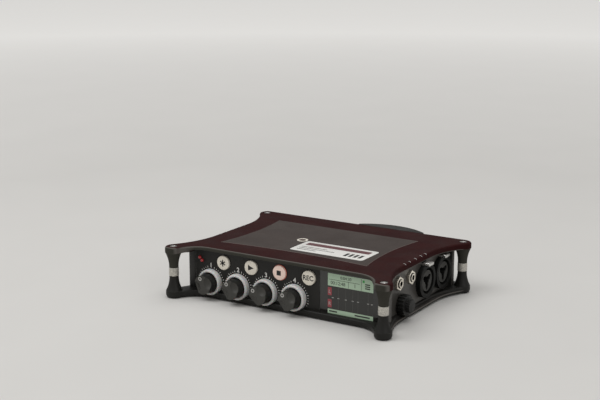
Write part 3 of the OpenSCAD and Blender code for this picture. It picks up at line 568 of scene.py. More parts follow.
def dark_bores(tree, place, base):
    """Socket cores painted black inside their holes: painted shade."""
    face = high("combo_cores").x
    depth = maths(tree, "SUBTRACT", face, maths(tree, "ABSOLUTE", along(tree, place, "X")))
    return mixed(tree, between(tree, depth, 0.3 * MM, 0.9 * MM), base, opaque(colours().socket, 0.4))


def pale_border(tree, place, base):
    """A pad whose rounded border is painted pale: a painted highlight."""
    return mixed(tree, between(tree, facing(tree, "Z"), 0.97, 0.88), base, opaque(colours().pad, 3.0))


def lit(rgb, roughness, strength, **more):
    """Values of a smooth finish that glows in its own colour."""
    return {"rgb": rgb, "roughness": roughness, "bump": 0.004, "mottle": 0.05,
            "Emission_Color": opaque(rgb), "Emission_Strength": strength, **more}


def finishes():
    """Values of every finish by its slot or its print."""
    c = colours()
    moulded = {"grain": 2100.0, "bump": 0.035, "wear": 0.5, "worn": c.worn, "scuffs": 0.15}
    painted = {"grain": 2600.0, "bump": 0.02, "wear": 0.35}
    steel = {"rgb": c.steel, "metallic": 1.0, "scuffs": 0.3}
    black = {"rgb": c.knob, "wear": 0.3, "dust": 0.02, "Specular_IOR_Level": 0.35}
    soft = {"roughness": 0.52, "grain": 3000.0, "bump": 0.02, **black}
    shown = {"roughness": 0.25, "bump": 0.004, "mottle": 0.05}
    printed = {"grain": 4000.0, "bump": 0.004}
    film = {"grain": 900.0, "bump": 0.006, "scuffs": 0.3}
    return {
        # The top shell's maroon base is a painted reflection; its paint adds painted light and a painted
        # highlight.
        "top_shell": {**moulded, "rgb": c.top, "roughness": 0.66, "mottle": 0.16, "dust": 0.05,
                      "paint": top_paint, "Specular_IOR_Level": 0.05},
        # The bottom shell's paint is a painted highlight line on its lip and ledge.
        "bottom_shell": {**moulded, "rgb": c.bottom, "roughness": 0.5, "paint": worn_lip,
                         "Specular_IOR_Level": 0.25},
        # The pad's pale border is a painted highlight.
        "pad_rubber": {"rgb": c.pad, "roughness": 0.74, "grain": 1600.0, "bump": 0.05, "mottle": 0.1,
                       "dust": 0.1, "scuffs": 0.2, "relief": stipple, "paint": pale_border,
                       "Specular_IOR_Level": 0.12},
        "panel_paint": {**painted, "rgb": c.panel, "roughness": 0.46, "dust": 0.06,
                        "Specular_IOR_Level": 0.3},
        # The side panels' faces to the front take a painted shade.
        "side_paint": {**painted, "rgb": c.side, "roughness": 0.42, "dust": 0.1, "scuffs": 0.2,
                       "paint": dark_front},
        "sleeve_metal": {"rgb": c.metal, "roughness": 0.5, "metallic": 0.4, "grain": 28000.0,
                         "mottle": 0.3, "bump": 0.05, "scuffs": 0.3, "relief": stipple},
        "screw_steel": {**steel, "roughness": 0.32, "bump": 0.01, "relief": turned},
        "bright_metal": {"rgb": c.nickel, "roughness": 0.35, "metallic": 0.25, "bump": 0.008, "scuffs": 0.3},
        "shaft_steel": {**steel, "roughness": 0.3, "bump": 0.01},
        "tab_metal": {**steel, "roughness": 0.28, "bump": 0.006, "scuffs": 0.4},
        "port_steel": {**steel, "roughness": 0.34, "bump": 0.008},
        "nut_brass": {"rgb": c.nickel, "roughness": 0.27, "metallic": 1.0, "bump": 0.008, "wear": 0.5,
                      "worn": (0.75, 0.72, 0.62)},
        "ring_plastic": {"rgb": c.ring, "roughness": 0.46, "bump": 0.01, "mottle": 0.05,
                         "Subsurface_Weight": 0.15, "Subsurface_Scale": 0.001},
        # Knob faces to the front are painted paler: painted light.
        "knob_plastic": {**soft, "worn": (0.07, 0.07, 0.066), "paint": handled_front},
        "dial_plastic": {**soft, "worn": c.worn, "rgb": c.socket},
        "socket_plastic": {**black, "roughness": 0.45, "bump": 0.012, "rgb": c.socket, "wear": 0.5,
                           "worn": c.worn, "Specular_IOR_Level": 0.12},
        # The cores' holes are darkened with painted shade.
        "core_plastic": {**black, "roughness": 0.55, "bump": 0.015, "rgb": c.core, "paint": dark_bores,
                         "Specular_IOR_Level": 0.2},
        "part_plastic": {**black, "roughness": 0.55, "bump": 0.02, "worn": c.worn},
        "slider_plastic": {"rgb": c.ring, "roughness": 0.45, "bump": 0.01, "wear": 0.4,
                           "worn": (0.5, 0.49, 0.46)},
        "key_plastic": {"rgb": c.key, "roughness": 0.36, "bump": 0.006, "mottle": 0.05, "wear": 0.2,
                        "worn": (0.4, 0.36, 0.28), "Coat_Weight": 0.2},
        "key_lit": lit(c.lit_key, 0.36, 0.12, bump=0.006, Coat_Weight=0.2),
        "key_glow": lit(c.glow, 0.5, 0.15),
        "light_red": lit(c.lamp, 0.22, 0.06, Coat_Weight=0.6),
        "cover_glass": {"rgb": c.panel, "roughness": 0.16, "bump": 0.001, "mottle": 0.05,
                        "scuffs": 0.06, "Coat_Weight": 0.5, "Coat_Roughness": 0.05},
        "screen": {**shown, "rgb": c.screen_pale, "roughness": 0.3},
        "screen_green": lit(c.screen_pale, 0.22, 0.2),
        "screen_field": lit(c.screen_dark, 0.2, 0.2),
        "screen_red": lit(c.screen_red, 0.22, 0.15),
        "screen_ink": {**shown, "rgb": c.screen_dark},
        "screen_pale": {**shown, "rgb": [channel * 0.6 for channel in c.marks]},
        "screen_line": {**shown, "rgb": [channel * 3 for channel in c.screen_dark]},
        "screen_on": {**shown, "rgb": (0.04, 0.33, 0.07)},
        "print_white": {**printed, "rgb": c.marks, "roughness": 0.55, "scuffs": 0.25,
                        "worn": (0.2, 0.2, 0.19)},
        "print_dim": {"rgb": [channel * 0.7 for channel in c.marks], "roughness": 0.6, "scuffs": 0.4},
        "print_black": {**printed, "rgb": c.knob, "roughness": 0.5},
        "label_film": {**film, "rgb": c.label, "roughness": 0.4, "mottle": 0.03, "dust": 0.05,
                       "worn": (0.4, 0.38, 0.36)},
        "label_bar": {**film, "rgb": c.label_bar, "roughness": 0.42, "worn": (0.5, 0.45, 0.45)},
        "board": {"rgb": c.board, "roughness": 0.35, "grain": 700.0, "bump": 0.02, "Coat_Weight": 0.4},
        "card_plastic": {"rgb": c.cell, "roughness": 0.45, "bump": 0.01, "wear": 0.3},
        "cell_jacket": {"rgb": c.cell, "roughness": 0.3, "bump": 0.004, "scuffs": 0.3},
    }


def finish(name):
    """The material of a slot or a print, built once."""
    title = f"{name}_finish"
    return bpy.data.materials.get(title) or surface(title, **finishes()[name])


# Places of the case and its controls

def case_edges():
    """The covers' front, side and rear edges."""
    s = sizes()
    front = 2 * CASE_Y - POST.y - FLARE_R + s.front_recess
    side = POST.x + FLARE_R - s.side_recess
    return front, side, POST.y + FLARE_R


def posts():
    """The four posts' axes at the resting plane."""
    across, depth = POST.x, POST.y - CASE_Y
    return [Vector((x, CASE_Y + y, 0)) for x in (-across, across) for y in (-depth, depth)]


def knobs():
    """The channel knobs' axes in the plane of the front panel."""
    return [Vector((middle(f"knob_shaft_{i}").x, PANEL_Y, middle(f"knob_shaft_{i}").z)) for i in range(1, 5)]


def arc(bm, vert, cx, cy, degrees, steps):
    """Carry a vertex round a centre; gives the last vertex of the chain."""
    run = bmesh.ops.spin(bm, geom=[vert], cent=(cx, cy, 0), axis=(0, 0, 1), steps=steps,
                         angle=math.radians(degrees))
    return verts_of(run["geom_last"])[0]


def line(bm, vert, step):
    """Carry a vertex straight by a step; gives the new vertex."""
    run = bmesh.ops.extrude_vert_indiv(bm, verts=[vert])
    bmesh.ops.translate(bm, verts=run["verts"], vec=step)
    return run["verts"][0]


def cover_plate(side, upright):
    """A cover lying on its open side at zero height, with its rounded edge above an upright edge.

    It is one outline with curves out to the posts.
    """
    s = sizes()
    front = case_edges()[0]
    px, front_post, rear_post = POST.x, 2 * CASE_Y - POST.y, POST.y
    fy = front - s.front_curve
    fx = px - math.sqrt((s.front_curve + FLARE_R) ** 2 - (fy - front_post) ** 2)
    sx = side + s.side_curve
    reach = math.sqrt((s.side_curve + FLARE_R) ** 2 - (sx - px) ** 2)
    fa = math.degrees(math.atan2(front_post - fy, px - fx))
    sa = math.degrees(math.atan2(reach, sx - px))
    bm = bmesh.new()
    end = line(bm, bm.verts.new((0, front, 0)), (fx, 0, 0))
    end = arc(bm, end, fx, fy, fa - 90, 14)
    end = arc(bm, end, px, front_post, 180 + sa - fa, 28)
    end = arc(bm, end, sx, front_post + reach, -sa, 14)
    end = line(bm, end, (0, rear_post - front_post - 2 * reach, 0))
    end = arc(bm, end, sx, rear_post - reach, -sa, 14)
    end = arc(bm, end, px, rear_post, 90 + sa, 28)
    line(bm, end, (-px, 0, 0))
    bmesh.ops.remove_doubles(bm, verts=bm.verts, dist=1e-6)
    bmesh.ops.mirror(bm, geom=bm.verts[:] + bm.edges[:], axis="X", merge_dist=1e-6)
    bmesh.ops.contextual_create(bm, geom=bm.edges[:])
    raised = bmesh.ops.extrude_face_region(bm, geom=bm.faces[:])["geom"]
    bmesh.ops.translate(bm, verts=verts_of(raised), vec=(0, 0, upright + s.edge_round))
    bmesh.ops.recalc_face_normals(bm, faces=bm.faces)
    half = upright / 2
    rim = [e for e in bm.edges if all(v.co.z > half for v in e.verts)]
    bevel(bm, rim, s.edge_round, 7)

    def lip(at):
        """Edges of the open side, away from the posts."""
        return at.z < half and all((at.xy - post.xy).length > FLARE_R + MM for post in posts())
    round_edges(bm, min(s.lip_round, upright - SEAM), 3, 60, lip, clamp=False)
    return bm


def post_profile(height, foot):
    """Half a post from inside its cover to the sleeve, waisted, with a foot below zero."""
    s = sizes()
    neck, root, steps, waist = s.neck_d / 2, FLARE_R - SEAM, 14, 2.2
    curve = []
    for i in range(steps + 1):
        t = i / steps
        curve.append((neck + (root - neck) * (1 - t) ** waist, height * t))
    if foot:
        foot_r, foot_round = root - 0.3 * MM, 1.4 * MM
        start = rounded([(0, -foot), (foot_r, -foot), (foot_r, -SEAM)], foot_round)
    else:
        stem_r, stem_h = root - MM, 1.5 * MM
        start = [(0, -stem_h), (stem_r, -stem_h), (stem_r, -SEAM)]
    return start + curve + [(0, height)]


def drum(bm, centre, radius, start, end, axis):
    """A plain disc along an axis, to cut with."""
    lathe(bm, [(0, start), (radius, start), (radius, end), (0, end)], centre, axis, 48)


def washer(bm, centre, inner, outer, rise, steps):
    """A flat ring across the front, as far before its centre as behind it."""
    section = [(inner, rise), (inner, -rise), (outer, -rise), (outer, rise), (inner, rise)]
    lathe(bm, section, centre, "Y", steps)


def mouths(ending):
    """The mouths of the sockets whose mounts' names have an ending."""
    return [place for name, place in MOUNTS.items() if name.endswith(ending)]


def hang(plate, height):
    """Turn a plate over so that it hangs with its open side up at a height."""
    bmesh.ops.scale(plate, vec=(1, 1, -1), verts=plate.verts)
    bmesh.ops.reverse_faces(plate, faces=plate.faces)
    bmesh.ops.translate(plate, verts=plate.verts, vec=(0, 0, height))


class RECORDER_OT_covers(bpy.types.Operator):
    """Mould the two covers with the halves of the four posts"""
    bl_idname = "recorder.covers"
    bl_label = "Covers"

    def execute(self, context):
        s = sizes()
        side = case_edges()[1]
        for node, upper in (("top_cover", True), ("bottom_cover", False)):
            cover = cover_plate(side, s.rim_h - s.edge_round)
            if upper:
                rim = TOP_Z - SINK - s.rim_h
                bmesh.ops.translate(cover, verts=cover.verts, vec=(0, 0, rim))
            else:
                rim = FOOT_H + s.rim_h
                hang(cover, rim)
                cover = carved(cover, self.side_ledge(side), "UNION")
            cover = carved(cover, self.post_halves(rim, upper), "UNION")
            spaces = [self.lip_space(rim), self.screw_heads()] if upper else [self.scoops()]
            for space in spaces + self.inner_spaces(rim, upper):
                cover = carved(cover, space)
            bmesh.ops.dissolve_degenerate(cover, dist=1e-6, edges=cover.edges)
            piece(cover, f"{node}_shell", node)
        return {"FINISHED"}

    def side_ledge(self, side):
        """The thin ledge at the foot of both sides, kept only where it stands out between the posts."""
        s = sizes()
        plate = cover_plate(side + s.ledge, s.ledge_edge)
        hang(plate, FOOT_H + s.edge_round + s.ledge_edge)
        root, end, out = side - s.ledge, POST.x - FLARE_R / 2, POST.x + FLARE_R
        near, far = (POST.y - CASE_Y - share * FLARE_R for share in (1.2, 0.6))
        strip = bmesh.new()
        for x, y in ((root, -near), (end, -far), (out, -far), (out, far), (end, far), (root, near)):
            strip.verts.new((x, CASE_Y + y, 0))
        strip.faces.new(strip.verts)
        raised = bmesh.ops.extrude_face_region(strip, geom=strip.faces[:])["geom"]
        bmesh.ops.translate(strip, verts=verts_of(raised), vec=(0, 0, TOP_Z))
        whole = strip.verts[:] + strip.edges[:] + strip.faces[:]
        bmesh.ops.mirror(strip, geom=whole, axis="X", merge_dist=-1)
        bmesh.ops.recalc_face_normals(strip, faces=strip.faces)
        return carved(plate, strip, "INTERSECT")

    def post_halves(self, rim, upper):
        """The halves of the four posts between a cover's rim and the sleeves."""
        if upper:
            profile = [(r, -h) for r, h in post_profile(rim - high("post_sleeves").z, 0)]
        else:
            profile = post_profile(low("post_sleeves").z - rim, rim)
        halves = bmesh.new()
        for post in posts():
            lathe(halves, profile, post + Vector((0, 0, rim)), "Z", 56)
        return halves

    def inner_spaces(self, rim, upper):
        """The space between the panels, and the way of the sled out of it."""
        inner, outer = sorted((PANEL_HIGH, rim - MM) if upper else (PANEL_LOW, rim + MM))
        back = high("rear_panel").y
        sled_low, sled_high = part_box("battery_sled")
        case, bay = bmesh.new(), bmesh.new()
        box(case, (-SIDE_X - SEAM, PANEL_Y - SEAM, inner), (SIDE_X + SEAM, back + SEAM, outer))
        box(bay, (sled_low.x - SLIP, back - MM, inner), (sled_high.x + SLIP, case_edges()[2] + MM, outer))
        return [case, bay]

    def screw_heads(self):
        """Wells for the screws in the post tops."""
        radius, depth = 2.7 * MM, 1.8 * MM
        tool = bmesh.new()
        for post in posts():
            drum(tool, post, radius, high("corner_screws").z - depth, TOP_Z + MM, "Z")
        return tool

    def scoops(self):
        """Room for the light rings and for the headphone knob in the bottom cover."""
        ahead, beside = 5 * MM, sizes().ledge + 3 * MM
        tool = bmesh.new()
        for knob in knobs():
            drum(tool, knob, RING_R + SLIP, -ahead, SEAM, "Y")
        dial = middle("headphone_knob")
        dial.x = SIDE_X
        drum(tool, dial, high("headphone_knob").y - dial.y + 2 * SLIP, 0, beside, "X")
        return tool

    def lip_space(self, rim):
        """The space under the thin front rim, with rounded ends."""
        s = sizes()
        rise = s.rim_h - s.lip_h
        end = POST.x - FLARE_R - s.lip_end
        start = case_edges()[0] - s.front_recess
        tool = bmesh.new()
        box(tool, (-end, start, rim - MM), (end, PANEL_Y, rim + rise))
        for x in (-end, end):
            ends = bmesh.new()
            drum(ends, Vector((x, PANEL_Y, rim)), rise, start - PANEL_Y, 0, "Y")
            tool = carved(tool, ends, "UNION")
        return tool


class RECORDER_OT_posts(bpy.types.Operator):
    """Turn the post sleeves and their screws"""
    bl_idname = "recorder.posts"
    bl_label = "Post sleeves"

    def execute(self, context):
        bottom, top = low("post_sleeves").z, high("post_sleeves").z
        radius = high("post_sleeves").x - POST.x
        bm = bmesh.new()
        for post in posts():
            lathe(bm, rounded([(0, bottom), (radius, bottom), (radius, top), (0, top)], 0.5 * MM), post)
        piece(bm, "post_sleeves_turned", "post_sleeves")
        softened("corner_screws", 0.2)
        return {"FINISHED"}


class RECORDER_OT_top(bpy.types.Operator):
    """Lay the grip pad, the label, the thread inserts and the edge ticks"""
    bl_idname = "recorder.top"
    bl_label = "Top"

    def execute(self, context):
        softened("grip_pad", 0.4, 4)
        softened("asset_label", 0.08)
        for node in ("top_thread_insert", "bottom_thread_insert"):
            softened(node, 0.25, material="bright_metal")
        face = high("asset_label").z
        left, right = low("asset_label"), high("asset_label")
        span = right - left
        thin = sizes().print_t / 2

        def on_label(bm, x0, y0, x1, y1):
            """A printed field between shares of the label's width and depth."""
            box(bm, (left.x + span.x * x0, left.y + span.y * y0, face - thin),
                (left.x + span.x * x1, left.y + span.y * y1, face + thin))
        bar = bmesh.new()
        on_label(bar, 0.06, 0.62, 0.94, 0.86)
        round_edges(bar, 0.8 * MM, 4, 35, lambda at: abs(at.z - face) < thin / 4)
        piece(bar, "label_bar", slot="label_film", material="label_bar")
        rules = bmesh.new()
        for row, share in enumerate((0.60, 0.82, 0.44)):
            y = 0.42 - 0.13 * row
            on_label(rules, 0.06, y, 0.06 + share * 0.6, y + 0.035)
        for column in range(4):
            on_label(rules, 0.70 + 0.065 * column, 0.16, 0.74 + 0.065 * column, 0.44)
        piece(rules, "label_rules", slot="label_film", material="print_black")
        self.edge_ticks()
        return {"FINISHED"}

    def edge_ticks(self):
        """Five short strokes over the rounded edge on each side."""
        s = sizes()
        side = case_edges()[1]
        radius = s.edge_round + s.print_t
        centre_z = TOP_Z - SINK - s.edge_round
        bm = bmesh.new()
        for y in (-15.0, -8.0, 0.7, 9.0, 15.5):
            at = Vector((side - s.edge_round, CASE_Y + y * MM, centre_z))
            ends = [bm.verts.new(at + Vector((0, half, radius))) for half in (-s.tick_w / 2, s.tick_w / 2)]
            bmesh.ops.spin(bm, geom=ends + [bm.edges.new(ends)], cent=at, axis=(0, 1, 0),
                           angle=math.radians(55), steps=8)
            first = [edge for edge in ends[0].link_edges if ends[1] in edge.verts]
            flat = bmesh.ops.extrude_edge_only(bm, edges=first)["geom"]
            bmesh.ops.translate(bm, verts=verts_of(flat), vec=(-0.7 * MM, 0, 0))
        bmesh.ops.recalc_face_normals(bm, faces=bm.faces)
        bmesh.ops.solidify(bm, geom=bm.faces[:], thickness=-2 * s.print_t)
        bmesh.ops.mirror(bm, geom=bm.verts[:] + bm.edges[:] + bm.faces[:], axis="X", merge_dist=-1)
        bmesh.ops.recalc_face_normals(bm, faces=bm.faces)
        piece(bm, "edge_ticks", slot="label_film", material="print_dim")


class RECORDER_OT_front(bpy.types.Operator):
    """Make the front panel, the light rings, the knobs and the printed scales"""
    bl_idname = "recorder.front"
    bl_label = "Front panel and knobs"

    def execute(self, context):
        softened("front_panel", 0.25)
        self.rings()
        for i in range(1, 5):
            softened(f"knob_{i}", 0.5, 4, 30)
            self.mark(i)
        self.scales()
        return {"FINISHED"}

    def rings(self):
        """Light rings with a full round section."""
        ring_h = PANEL_Y - low("light_rings").y
        inner_r = (high("knob_1").x - low("knob_1").x) / 2 + sizes().ring_gap
        half = (RING_R - inner_r) / 2
        fullness, steps = 0.7, 16
        section = []
        for i in range(steps + 1):
            angle = math.pi * i / steps
            across, up = math.cos(angle), math.sin(angle)
            section.append((inner_r + half - half * math.copysign(abs(across) ** fullness, across),
                            -ring_h * abs(up) ** fullness))
        bm = bmesh.new()
        for knob in knobs():
            lathe(bm, section + section[:1], knob, "Y", 96)
        piece(bm, "light_rings_moulded", "light_rings")

    def mark(self, i):
        """A small ring printed at the end of a knob's grip bar."""
        joint = next(j for j in frame["joints"] if j["name"] == f"channel_{i}_turn")
        lean = math.radians(sum(joint["range_deg"]) / 2)
        reach = 4.75 * MM
        at = knobs()[i - 1] + reach * Vector((-math.sin(lean), 0, math.cos(lean)))
        at.y = low(f"knob_{i}").y
        bm = bmesh.new()
        washer(bm, at, 0.75 * MM, 1.35 * MM, 0.06 * MM, 32)
        piece(bm, f"knob_mark_{i}", body=f"channel_{i}_knob", slot="label_film", material="print_dim")

    def scales(self):
        """Ticks over three quarters of a turn and a number above each knob."""
        s = sizes()
        bm = bmesh.new()
        floor = PANEL_LOW + s.rim_h - 2 * MM
        first, sweep, number_gap = -135, 270, math.radians(12)
        for number, knob in enumerate(knobs(), 1):
            for tick in range(s.ticks):
                angle = math.radians(first + sweep * tick / (s.ticks - 1))
                length = s.tick_l if tick % 3 == 0 else s.tick_l * 0.6
                radius = s.scale_r + length / 2
                at = knob + radius * Vector((math.sin(angle), 0, math.cos(angle)))
                if at.z < floor or abs(angle) < number_gap:
                    continue
                half = Vector((s.tick_w / 2, s.print_t, length / 2))
                box(bm, at - half, at + half, angle)
            words(bm, str(number), s.digit_h, knob + Vector((0, 0, s.scale_r + 1.6 * MM)), 0.02)
        piece(bm, "knob_scales", slot="label_film", material="print_white")


class RECORDER_OT_keys(bpy.types.Operator):
    """Turn the four keys with their symbols, and the two status lights"""
    bl_idname = "recorder.keys"
    bl_label = "Keys and lights"

    def execute(self, context):
        for node in KEYS:
            self.cap(node)
            self.symbol(node)
        glow = bmesh.new()
        lit = middle("key_stop")
        inner = (high("key_stop").x - low("key_stop").x) / 2 + 0.05 * MM
        washer(glow, (lit.x, PANEL_Y, lit.z), inner, inner + 0.3 * MM, 0.12 * MM, 64)
        piece(glow, "lit_key_rim", slot="light_red", material="key_glow")
        self.lights()
        return {"FINISHED"}

    def cap(self, node):
        """A domed cap with a stem that reaches back."""
        lo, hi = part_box(node)
        centre = middle(node)
        radius, length = (hi.x - lo.x) / 2, hi.y - lo.y
        stem, cap_l, crown = 2 * MM, 3.55 * MM, 0.25 * MM
        dome = [(radius * 0.86, -crown * 0.25), (radius * 0.6, -crown * 0.66), (radius * 0.3, -crown * 0.92)]
        profile = [(0, length), (stem, length), (stem, cap_l), (radius, cap_l)]
        profile += rounded([(radius, cap_l), (radius, 0.05 * MM), (radius * 0.86, -crown * 0.25)], 0.7 * MM)
        bm = bmesh.new()
        lathe(bm, profile + dome[1:] + [(0, -crown)], (centre.x, lo.y, centre.z), "Y", 72)
        piece(bm, f"{node}_cap", node)

    def symbol(self, node):
        """A star, a triangle, a square or three letters on the cap."""
        lo, centre = low(node), middle(node)
        front = lo.y - 0.27 * MM
        back = lo.y - 0.05 * MM
        bm = bmesh.new()

        def bar(half_w, half_h, turn=0.0):
            """A bar across the middle of the cap."""
            box(bm, (centre.x - half_w, front, centre.z - half_h),
                (centre.x + half_w, back, centre.z + half_h), turn)
        if node == "key_star":
            for turn in (0, 60, 120):
                bar(0.45 * MM, 2.4 * MM, math.radians(turn))
        elif node == "key_stop":
            bar(1.7 * MM, 1.7 * MM)
        elif node == "key_play":
            lathe(bm, [(0, front), (2.3 * MM, front), (2.3 * MM, back), (0, back)], (0, 0, 0), "Y", 3)
            bmesh.ops.scale(bm, vec=(1.35, 1, 1), verts=bm.verts)
            bmesh.ops.translate(bm, verts=bm.verts, vec=(centre.x - 0.3 * MM, 0, centre.z))
        else:
            words(bm, "REC", 3.3 * MM, Vector((centre.x, lo.y - 0.24 * MM, centre.z)), 0.02)
        piece(bm, f"{node}_symbol", body=NODES[node]["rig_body"], slot="knob_plastic",
              material="print_black", smooth=20)

    def lights(self):
        """Two small red domes."""
        lo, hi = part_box("status_lights")
        radius = 1.2 * MM
        bm = bmesh.new()
        for x, z in ((lo.x + radius, hi.z - radius), (hi.x - radius, lo.z + radius)):
            dome = [(radius * math.cos(a), lo.y - radius * 0.5 * math.sin(a))
                    for a in (0.0, 0.3, 0.6, 0.9, 1.2, 1.45)]
            lathe(bm, [(0, hi.y), (radius, hi.y)] + dome + [(0, lo.y - radius * 0.5)], (x, 0, z), "Y", 40)
        piece(bm, "status_lights_domed", "status_lights")


class RECORDER_OT_display(bpy.types.Operator):
    """Make the display's glass and what it shows"""
    bl_idname = "recorder.display"
    bl_label = "Display"

    def execute(self, context):
        softened("display_glass", 0.25)
        edge = 2 * MM
        module_low, module_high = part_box("display_module")
        left, right = module_low.x + edge, module_high.x - edge
        bottom, top = module_low.z + edge / 2 + 0.15 * MM, module_high.z - edge / 2 - 0.15 * MM
        front = low("display_glass").y
        layer = 0.012 * MM

        def field(bm, x0, y0, x1, y1, depth=1):
            """A lit field between shares of the screen's width and height, from the top left."""
            box(bm, (left + (right - left) * x0, front - layer * depth, top - (top - bottom) * y1),
                (left + (right - left) * x1, front + layer, top - (top - bottom) * y0))

        def show(name, material, fields, depth=1):
            """A piece of lit fields, in a layer over the glass."""
            bm = bmesh.new()
            for bounds in fields:
                field(bm, *bounds, depth)
            piece(bm, name, slot="screen", material=material, smooth=20)
        show("screen_field", "screen_field", [(0, 0, 1, 1)])
        show("screen_bars", "screen_green", [(0, 0, 1, 0.31), (0, 0.89, 1, 1)], 2)
        show("screen_labels", "screen_red", [(0, 0.35, 0.085, 0.55), (0, 0.65, 0.085, 0.85)], 2)
        grid = [(x - 0.004, 0.33, x + 0.004, 0.87) for x in (0.235, 0.40, 0.555, 0.67, 0.89)]
        ticks = [(x - 0.02, 0.59, x + 0.02, 0.61) for x in (0.11, 0.235, 0.40, 0.555, 0.67, 0.89, 0.97)]
        show("screen_scale", "screen_pale", ticks, 2)
        show("screen_grid", "screen_line", grid, 2)
        marks = [(0.452, 0.15, 0.460, 0.30), (0.735, 0.02, 0.743, 0.30), (0.02, 0.145, 0.70, 0.155)]
        marks += [(0.82, 0.12 + 0.05 * i, 0.93, 0.15 + 0.05 * i) for i in range(3)]
        marks += [(0.03, 0.925, 0.21, 0.96), (0.60, 0.925, 0.93, 0.96)]
        show("screen_marks", "screen_ink", marks, 3)
        show("screen_signal", "screen_on", [(0.765, 0.04, 0.81, 0.10)], 3)
        ink = bmesh.new()
        place = Vector((left, front - layer * 3, top))
        span = Vector((right - left, 0, bottom - top))
        for text, height, x, y in (("00:12:48", 2.3, 0.225, 0.23), ("1", 2.7, 0.60, 0.225),
                                   ("0:04:30", 2.0, 0.40, 0.08)):
            words(ink, text, height * MM, place + Vector((span.x * x, 0, span.z * y)))
        piece(ink, "screen_digits", slot="screen", material="screen_ink", smooth=20)
        letters = bmesh.new()
        for text, y in (("L", 0.45), ("R", 0.75)):
            words(letters, text, 2.4 * MM, place + Vector((span.x * 0.043, 0, span.z * (y + 0.01))))
        piece(letters, "screen_letters", slot="screen", material="screen_pale", smooth=20)
        return {"FINISHED"}


class RECORDER_OT_sides(bpy.types.Operator):
    """Soften the side panels, the sockets, the ports, the tabs and the headphone knob"""
    bl_idname = "recorder.sides"
    bl_label = "Sides"

    def execute(self, context):
        for node in ("right_panel", "left_panel"):
            softened(node, 0.3, material="side_paint")
        for node, width in (("combo_shells", 0.45), ("small_jacks", 0.2), ("jack_nuts", 0.35),
                            ("data_ports", 0.12), ("power_slider", 0.45)):
            softened(node, width)
        softened("headphone_knob", 0.3, material="dial_plastic")
        self.cores()
        self.jack_lips()
        for i in range(1, 5):
            softened(f"release_tab_{i}", 0.5)
        return {"FINISHED"}

    def jack_lips(self):
        """Bright collars at the mouths of the small jacks."""
        inner, outer, proud, sunk = 1.8 * MM, 2.75 * MM, 0.15 * MM, 0.4 * MM
        bm = bmesh.new()
        for mouth in mouths("_small_jack"):
            section = rounded([(inner, -sunk), (inner, proud), (outer, proud), (outer, -sunk)], 0.2 * MM)
            lathe(bm, section + section[:1], mouth, "X", 48)
        piece(bm, "jack_lips", slot="nut_brass")

    def cores(self):
        """Socket cores whose three contact holes run into the plug's bore."""
        radius, reach, depth = 2.2 * MM, 3.6 * MM, 10 * MM
        tool = bmesh.new()
        for mouth in mouths("_plug"):
            start, end = sorted((math.copysign(MM, mouth.x), -math.copysign(depth, mouth.x)))
            for turn in (90, 210, 330):
                angle = math.radians(turn)
                hole = mouth + reach * Vector((0, math.cos(angle), -math.sin(angle)))
                drum(tool, hole, radius, start, end, "X")
        bm = carved(node_mesh("combo_cores"), tool)
        round_edges(bm, 0.2 * MM)
        piece(bm, "combo_cores_moulded", "combo_cores")


class RECORDER_OT_rear(bpy.types.Operator):
    """Soften the rear panel, the battery sled, its latch button and the memory card"""
    bl_idname = "recorder.rear"
    bl_label = "Rear"

    def execute(self, context):
        softened("rear_panel", 0.3)
        rear = case_edges()[2]
        softened("battery_sled", 1.4, 5, 35, lambda at: at.y > rear + MM)
        softened("sled_latch", 0.6, 4)
        softened("memory_card", 0.25)
        return {"FINISHED"}


class RECORDER_OT_inside(bpy.types.Operator):
    """Give the frame's own pieces their finishes, inside and out"""
    bl_idname = "recorder.inside"
    bl_label = "Plain pieces"

    def execute(self, context):
        for node, obj in NODES.items():
            obj.data.materials.clear()
            obj.data.materials.append(finish(SLOTS[node]))
        return {"FINISHED"}


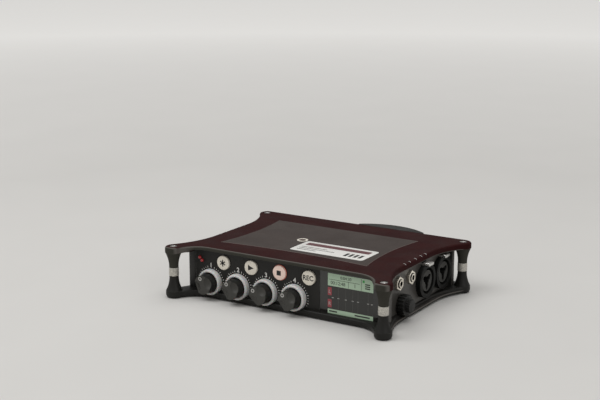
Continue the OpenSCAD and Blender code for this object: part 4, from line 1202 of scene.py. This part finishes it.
class RECORDER_OT_stage(bpy.types.Operator):
    """Set the pale floor, the soft lights and the camera"""
    bl_idname = "recorder.stage"
    bl_label = "Studio"

    def execute(self, context):
        scene = context.scene
        scene.view_settings.view_transform = "Standard"
        bm = bmesh.new()
        bmesh.ops.create_circle(bm, cap_ends=True, radius=30.0, segments=96)
        floor = bpy.data.objects.new("floor", mesh_of(bm, "floor"))
        scene.collection.objects.link(floor)
        floor.data.materials.append(self.paper())
        scene.world = self.sky()
        for name, place, width, watts in (("key", (-0.7, -0.8, 1.5), 1.1, 13.5),
                                          ("top", (0.15, 0.35, 1.7), 1.4, 10.0),
                                          ("fill", (1.5, -0.6, 0.8), 1.0, 4.0)):
            light = bpy.data.lights.new(name, "AREA")
            light.size, light.energy = width, watts
            lamp = bpy.data.objects.new(name, light)
            lamp.location = place
            lamp.rotation_euler = (-Vector(place)).to_track_quat("-Z", "Y").to_euler()
            scene.collection.objects.link(lamp)
        view = bpy.data.cameras.new("camera")
        view.lens, view.sensor_width, view.clip_start = 71.8, 36.0, 0.01
        camera = bpy.data.objects.new("camera", view)
        camera.location = (0.4248, -0.70905, 0.2555)
        camera.rotation_euler = (math.radians(77.22), 0, math.radians(32.08))
        scene.collection.objects.link(camera)
        scene.camera = camera
        return {"FINISHED"}

    def seen(self, tree):
        """A mask of the rays that see the background: camera, glossy and transmission rays."""
        rays = add(tree, "LightPath").outputs
        mirrored = maths(tree, "MAXIMUM", rays["Is Glossy Ray"], rays["Is Transmission Ray"])
        return maths(tree, "MAXIMUM", rays["Is Camera Ray"], mirrored)

    def paper(self):
        """Pale floor that stays pale far from the lamps."""
        material = surface("floor_paper", colours().floor, 0.9, grain=300.0, bump=0.0, mottle=0.01)
        tree = material.node_tree
        shader = tree.nodes["Principled BSDF"]
        place = add(tree, "TexCoord").outputs["Object"]
        away = add(tree, "VectorMath", {"operation": "LENGTH"}, i0=place).outputs["Value"]
        far = maths(tree, "MULTIPLY", between(tree, away, 0.5, 2.2), 0.42)
        shader.inputs["Emission Color"].default_value = DAYLIGHT
        tree.links.new(maths(tree, "MULTIPLY", far, self.seen(tree)), shader.inputs["Emission Strength"])
        return material

    def sky(self):
        """Even light from all round."""
        world = bpy.data.worlds.new("studio")
        world.use_nodes = True
        background = world.node_tree.nodes["Background"].inputs
        background["Color"].default_value = DAYLIGHT
        background["Strength"].default_value = 0.4
        return world


STEPS = (RECORDER_OT_inside, RECORDER_OT_covers, RECORDER_OT_posts, RECORDER_OT_top, RECORDER_OT_front,
         RECORDER_OT_keys, RECORDER_OT_display, RECORDER_OT_sides, RECORDER_OT_rear, RECORDER_OT_stage)


class RECORDER_PT_steps(bpy.types.Panel):
    """Lists the steps that dress the recorder"""
    bl_idname = "RECORDER_PT_steps"
    bl_label = "Field recorder"
    bl_space_type = "VIEW_3D"
    bl_region_type = "UI"
    bl_category = "Recorder"

    def draw(self, context):
        for step in STEPS:
            self.layout.operator(step.bl_idname)
        for group in (context.scene.recorder_sizes, context.scene.recorder_colours):
            for key in group.__annotations__:
                self.layout.prop(group, key)


CLASSES = (RecorderSizes, RecorderColours, *STEPS, RECORDER_PT_steps)


def register():
    for cls in CLASSES:
        bpy.utils.register_class(cls)
    bpy.types.Scene.recorder_sizes = PointerProperty(type=RecorderSizes)
    bpy.types.Scene.recorder_colours = PointerProperty(type=RecorderColours)


def unregister():
    del bpy.types.Scene.recorder_colours
    del bpy.types.Scene.recorder_sizes
    for cls in reversed(CLASSES):
        bpy.utils.unregister_class(cls)


def main():
    """Dress the frame step by step."""
    register()
    for step in STEPS:
        group, name = step.bl_idname.split(".")
        getattr(getattr(bpy.ops, group), name)()


if __name__ == "__main__":
    main()
